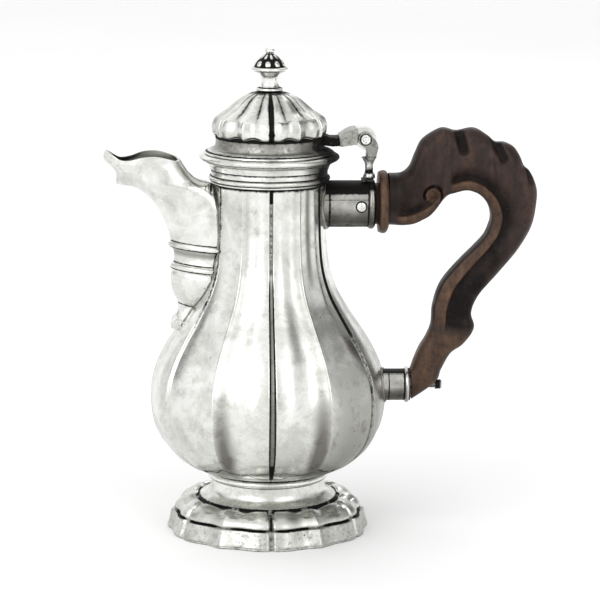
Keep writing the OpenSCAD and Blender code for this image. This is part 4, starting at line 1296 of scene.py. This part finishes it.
def lid_dome():
    """The fluted dome, outside and inside."""
    outline = smooth([
        [DOME_LOW + 0.3, 23.5], [DOME_LOW + 0.8, 24.1], [174.2, 24.6], [176.4, 24.9], [178.6, 24.5],
        [180.6, 23.4], [182.2, 21.2], [184, 18.4], [186.4, 15.6], [188.6, 12.9], [190.2, 10],
        [191.3, 6.4], [191.7, STEM_R]], 7)
    angles = section_angles(8, 18)
    turn = np.radians(angles)
    f = from_groove(angles)
    rows = [round_at(23, turn, DOME_LOW)]
    marks = [0 * turn + 0.9]
    greys = [0 * turn + 0.5]
    for z, r in outline:
        ring = dome_r(r, angles)
        lift = 0.8 * hollow(f) * (1 - ease(z, DOME_LOW, DOME_LOW + 3.5))
        rows.append(beaten(round_at(ring, turn, z + lift), turn, 8, 0.14))
        main = front_or_back(turn)
        # The groove in front is black down to a drop at its foot. The others are thin and patchy.
        drop = np.interp(z - DOME_LOW, DROP_AT, DROP)
        full = groove(np.radians(f) * r * drop) * (z > DOME_LOW + 0.4)
        slim = 0.62 * groove(np.radians(f) * r * 1.5) * ease(z, 174, 178)
        # Painted shade in the hollows of the upper dome, black here and grey below.
        trough = bell(f, 17, 3.2) * ease(z, 177, 184) * 0.7
        crown = ease(z, 189.5, 191.4) * 0.7
        # The dome's lowest edge is black: the joint with the neck, and painted shade under the lip.
        lower_edge = 1.0 * (z < DOME_LOW + 0.6)
        in_groove = np.where(main, full, slim) * ease(r, 4, 6)
        marks.append(np.maximum.reduce([in_groove, trough, 0 * f + crown, 0 * f + lower_edge]))
        # Grey in the hollows as painted shade, and greyer towards the top.
        greys.append(0.12 + 0.5 * bell(f, 18, 6) * ease(z, 174, 180) + 0.2 * ease(z, 180, 188))
    inner = []
    for z, r in outline[::-3]:
        size = np.maximum(dome_r(r, angles) - 1, STEM_R)
        height = np.clip(z - 1, DOME_LOW + 0.1, 190.6)
        inner.append(round_at(size, turn, height))
    inner.append(round_at(LID_NECK_R, turn, DOME_LOW))
    rows = np.concatenate([np.array(rows), np.array(inner)])
    spare = np.ones((len(inner), len(turn)))
    marks = np.concatenate([np.array(marks), 0.1 * spare])
    greys = np.concatenate([np.array(greys), spare])
    return skinned("lid_dome_raised", rows, closed=True, paint={"tarnish": marks, "dull": greys}, sharp=60)


def finial():
    """The cast finial: a reel, a waist, and a bud whose crown is chased with two rows of petals."""
    outline = [(0, 187), (STEM_R, 187), (STEM_R, 191.7), (4.9, 191.7)]
    outline += arc((5.05, 192.4), 0.72, -75, 75, 8)
    outline += smooth([
        (4.6, 193.35), (3.8, 194.6), (3.6, 196.2), (4.1, 198), (5.5, 199.4), (6.8, 200.3)], 6).tolist()
    outline += arc((7.15, 201.25), 0.72, -65, 65, 8)
    crown_start = len(outline)
    outline += smooth([(6.8, 202.1), (6.2, 203.6), (5, 205.1), (3.2, 206.6), (1.9, 207.5)], 10).tolist()
    crown_end = len(outline)
    outline += arc((1.15, 208.9), 0.98, -60, 60, 8)
    outline += [(0.8, 209.95), (0, 210)]
    line = np.array(outline)
    steps = 240
    turn = np.linspace(0, 2 * np.pi, steps, endpoint=False)
    rows, marks = [], []
    for k, (r, z) in enumerate(line):
        along = np.clip((k - crown_start) / (crown_end - crown_start), 0, 1)
        in_crown = crown_start <= k < crown_end
        shift = np.pi / 9 * (along > 0.5)
        leaf = np.abs(np.mod((turn + shift) * 9 / (2 * np.pi), 1) - 0.5) * 2
        belly = math.sin(math.pi * ((along * 2) % 1)) if in_crown else 0
        petal = np.clip(1 - (leaf / 0.72) ** 2, 0, 1) * belly
        depth = 0.55 * petal if in_crown else 0 * turn
        size = np.maximum(r - (0.35 if in_crown else 0) + depth, 0)
        rows.append(round_at(size, turn, z))
        at_joint = abs(z - 193.3) < 0.25 or abs(z - 200.35) < 0.2 or abs(z - 191.75) < 0.1
        ring_line = 0.8 if at_joint else 0.12
        marks.append(np.where(petal > 0.45, 0.15, 1.0) if in_crown else 0 * turn + ring_line)
    return skinned("finial_chased", rows, paint={"tarnish": np.array(marks)}, sharp=50)


fit(lid_flange(), SILVER, LID, "silver", "lid_flange")
fit(lid_dome(), SILVER, LID, "silver", "lid_dome")
fit(finial(), SILVER, LID, "silver_dark", "finial")


# ---- CAD parts that stay as they are ----


for name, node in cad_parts.items():
    if not node.hide_render:
        node.data.materials.clear()
        node.data.materials.append(OLD_SILVER if name != "lid_bezel" else SILVER)


# ---- studio ----


def table_top():
    """A wide pale table, larger than any view of the pot."""
    made, add = new_material("matt_white_table")
    on = {"Vector": add("TexCoord").outputs["Object"]}
    faint = add("TexNoise", {"Scale": 3, "Detail": 2}, on)
    tone = add("ValToRGB", {"stops": [(0.3, "#fcfcfc"), (0.7, "#fefefe")]}, {"Fac": faint})
    shader = add("BsdfPrincipled", {"Roughness": 0.9}, {"Base Color": tone})
    add("OutputMaterial", None, {"Surface": shader})
    mesh = bpy.data.meshes.new("table_top")
    turn = np.linspace(0, 2 * np.pi, 64, endpoint=False)
    mesh.from_pydata([(30 * math.cos(t), 30 * math.sin(t), 0) for t in turn], [], [list(range(64))])
    mesh.materials.append(made)
    top = bpy.data.objects.new("table_top", mesh)
    link(top)


# How bright the white tent round the pot is, at degrees from the camera's side, to the right.
TENT = [
    (-180, 1.1), (-135, 1.1), (-124, 1.0), (-117, 0.15), (-107, 0.8), (-85, 1.1), (-60, 1.3), (-30, 1.6),
    (-14, 1.45), (-5, 0.95), (5, 0.75), (14, 1.25), (28, 1.5), (50, 1.15), (68, 0.9), (80, 0.75), (96, 0.7),
    (108, 0.5), (120, 0.55), (132, 0.12), (148, 0.6), (180, 1.1)]


def tent():
    """A white tent lit from both sides of the camera and from above, with a dim gap at the camera."""
    world = bpy.data.worlds.new("tent")
    world.use_nodes = True
    world.node_tree.nodes.clear()
    add = partial(add_node, world.node_tree)
    way = add("TexCoord").outputs["Generated"]
    parts = add("SeparateXYZ", None, {"Vector": way})
    front = add("Math", {"operation": "MULTIPLY", 1: -1}, {0: parts.outputs["Y"]})
    turn = add("Math", {"operation": "ARCTAN2"}, {0: parts.outputs["X"], 1: front})
    spot = add("MapRange", span(-math.pi, math.pi), {"Value": turn})
    ramp = add("FloatCurve", None, {"Value": spot})
    curve = ramp.mapping.curves[0]
    for number, (degrees, level) in enumerate(TENT):
        at = degrees / 360 + 0.5
        if number < 2:
            curve.points[number].location = (at, level / 2)
        else:
            curve.points.new(at, level / 2)
    ramp.mapping.update()
    walls = add("Math", {"operation": "MULTIPLY", 1: 2}, {0: ramp})
    low = add("MapRange", {"From Min": 0, "From Max": 0.24, "interpolation_type": "SMOOTHSTEP"},
              {"Value": parts.outputs["Z"]})
    walls_up = add("MapRange", {"To Min": 1.0}, {"Value": low, "To Max": walls})
    height = add("MapRange", {"From Min": 0.6, "From Max": 0.85, "interpolation_type": "SMOOTHSTEP"},
                 {"Value": parts.outputs["Z"]})
    level = add("MapRange", {"To Max": 1.08}, {"Value": height, "To Min": walls_up})
    # A black drape hangs high on the right.
    drape_in = add("MapRange", span(math.radians(66), math.radians(78)), {"Value": turn})
    drape_out = add("MapRange", span(math.radians(108), math.radians(96)), {"Value": turn})
    drape_low = add("MapRange", span(0.5, 0.62), {"Value": parts.outputs["Z"]})
    drape_wide = add("Math", TIMES, {0: drape_in, 1: drape_out})
    drape = add("Math", TIMES, {0: drape_wide, 1: drape_low})
    draped = add("MapRange", {"To Max": 0.02}, {"Value": drape, "To Min": level})
    camera_sees = add("LightPath").outputs["Is Camera Ray"]
    shown = add("MapRange", {"To Max": 1.0}, {"Value": camera_sees, "To Min": draped})
    light = add("Background", {"Color": colour("#ffffff")}, {"Strength": shown})
    add("OutputWorld", None, {"Surface": light})
    bpy.context.scene.world = world


def camera():
    """Stands a little above the pot and 1.2 m away, and looks at the middle of it and its handle."""
    aim = Vector((13.6, 0, 100.7)) * MM
    stand = Vector((-48.8, -1215, 331)) * MM
    lens = bpy.data.cameras.new("camera")
    lens.lens = 171.4
    lens.sensor_width = 36
    lens.clip_end = 200
    made = bpy.data.objects.new("camera", lens)
    roll = Quaternion((0, 0, 1), math.radians(0.4))
    made.rotation_mode = "QUATERNION"
    made.rotation_quaternion = (aim - stand).to_track_quat("-Z", "Y") @ roll
    made.location = stand
    link(made)
    bpy.context.scene.camera = made


def softbox(name, turn, rise, away, size, glow):
    """A soft light that faces the pot, at degrees to the right of the camera and above the table."""
    lamp = bpy.data.lights.new(name, "AREA")
    lamp.shape = "RECTANGLE"
    lamp.size, lamp.size_y = size
    lamp.energy = glow * math.pi * size[0] * size[1]
    made = bpy.data.objects.new(name, lamp)
    sideways, up = math.radians(turn), math.radians(rise)
    way = Vector((math.sin(sideways) * math.cos(up), -math.cos(sideways) * math.cos(up), math.sin(up)))
    made.location = Vector((0, 0, 0.09)) + way * away
    made.rotation_mode = "QUATERNION"
    made.rotation_quaternion = way.to_track_quat("Z", "Y")
    link(made)


table_top()
tent()
softbox("left_softbox", -38, 24, 1.6, (0.95, 1.35), 1.15)
softbox("right_softbox", 34, 24, 1.6, (0.6, 1.35), 0.95)
softbox("back_softbox", 165, 40, 1.8, (0.9, 0.5), 2)
camera()
bpy.context.scene.view_settings.view_transform = "Standard"
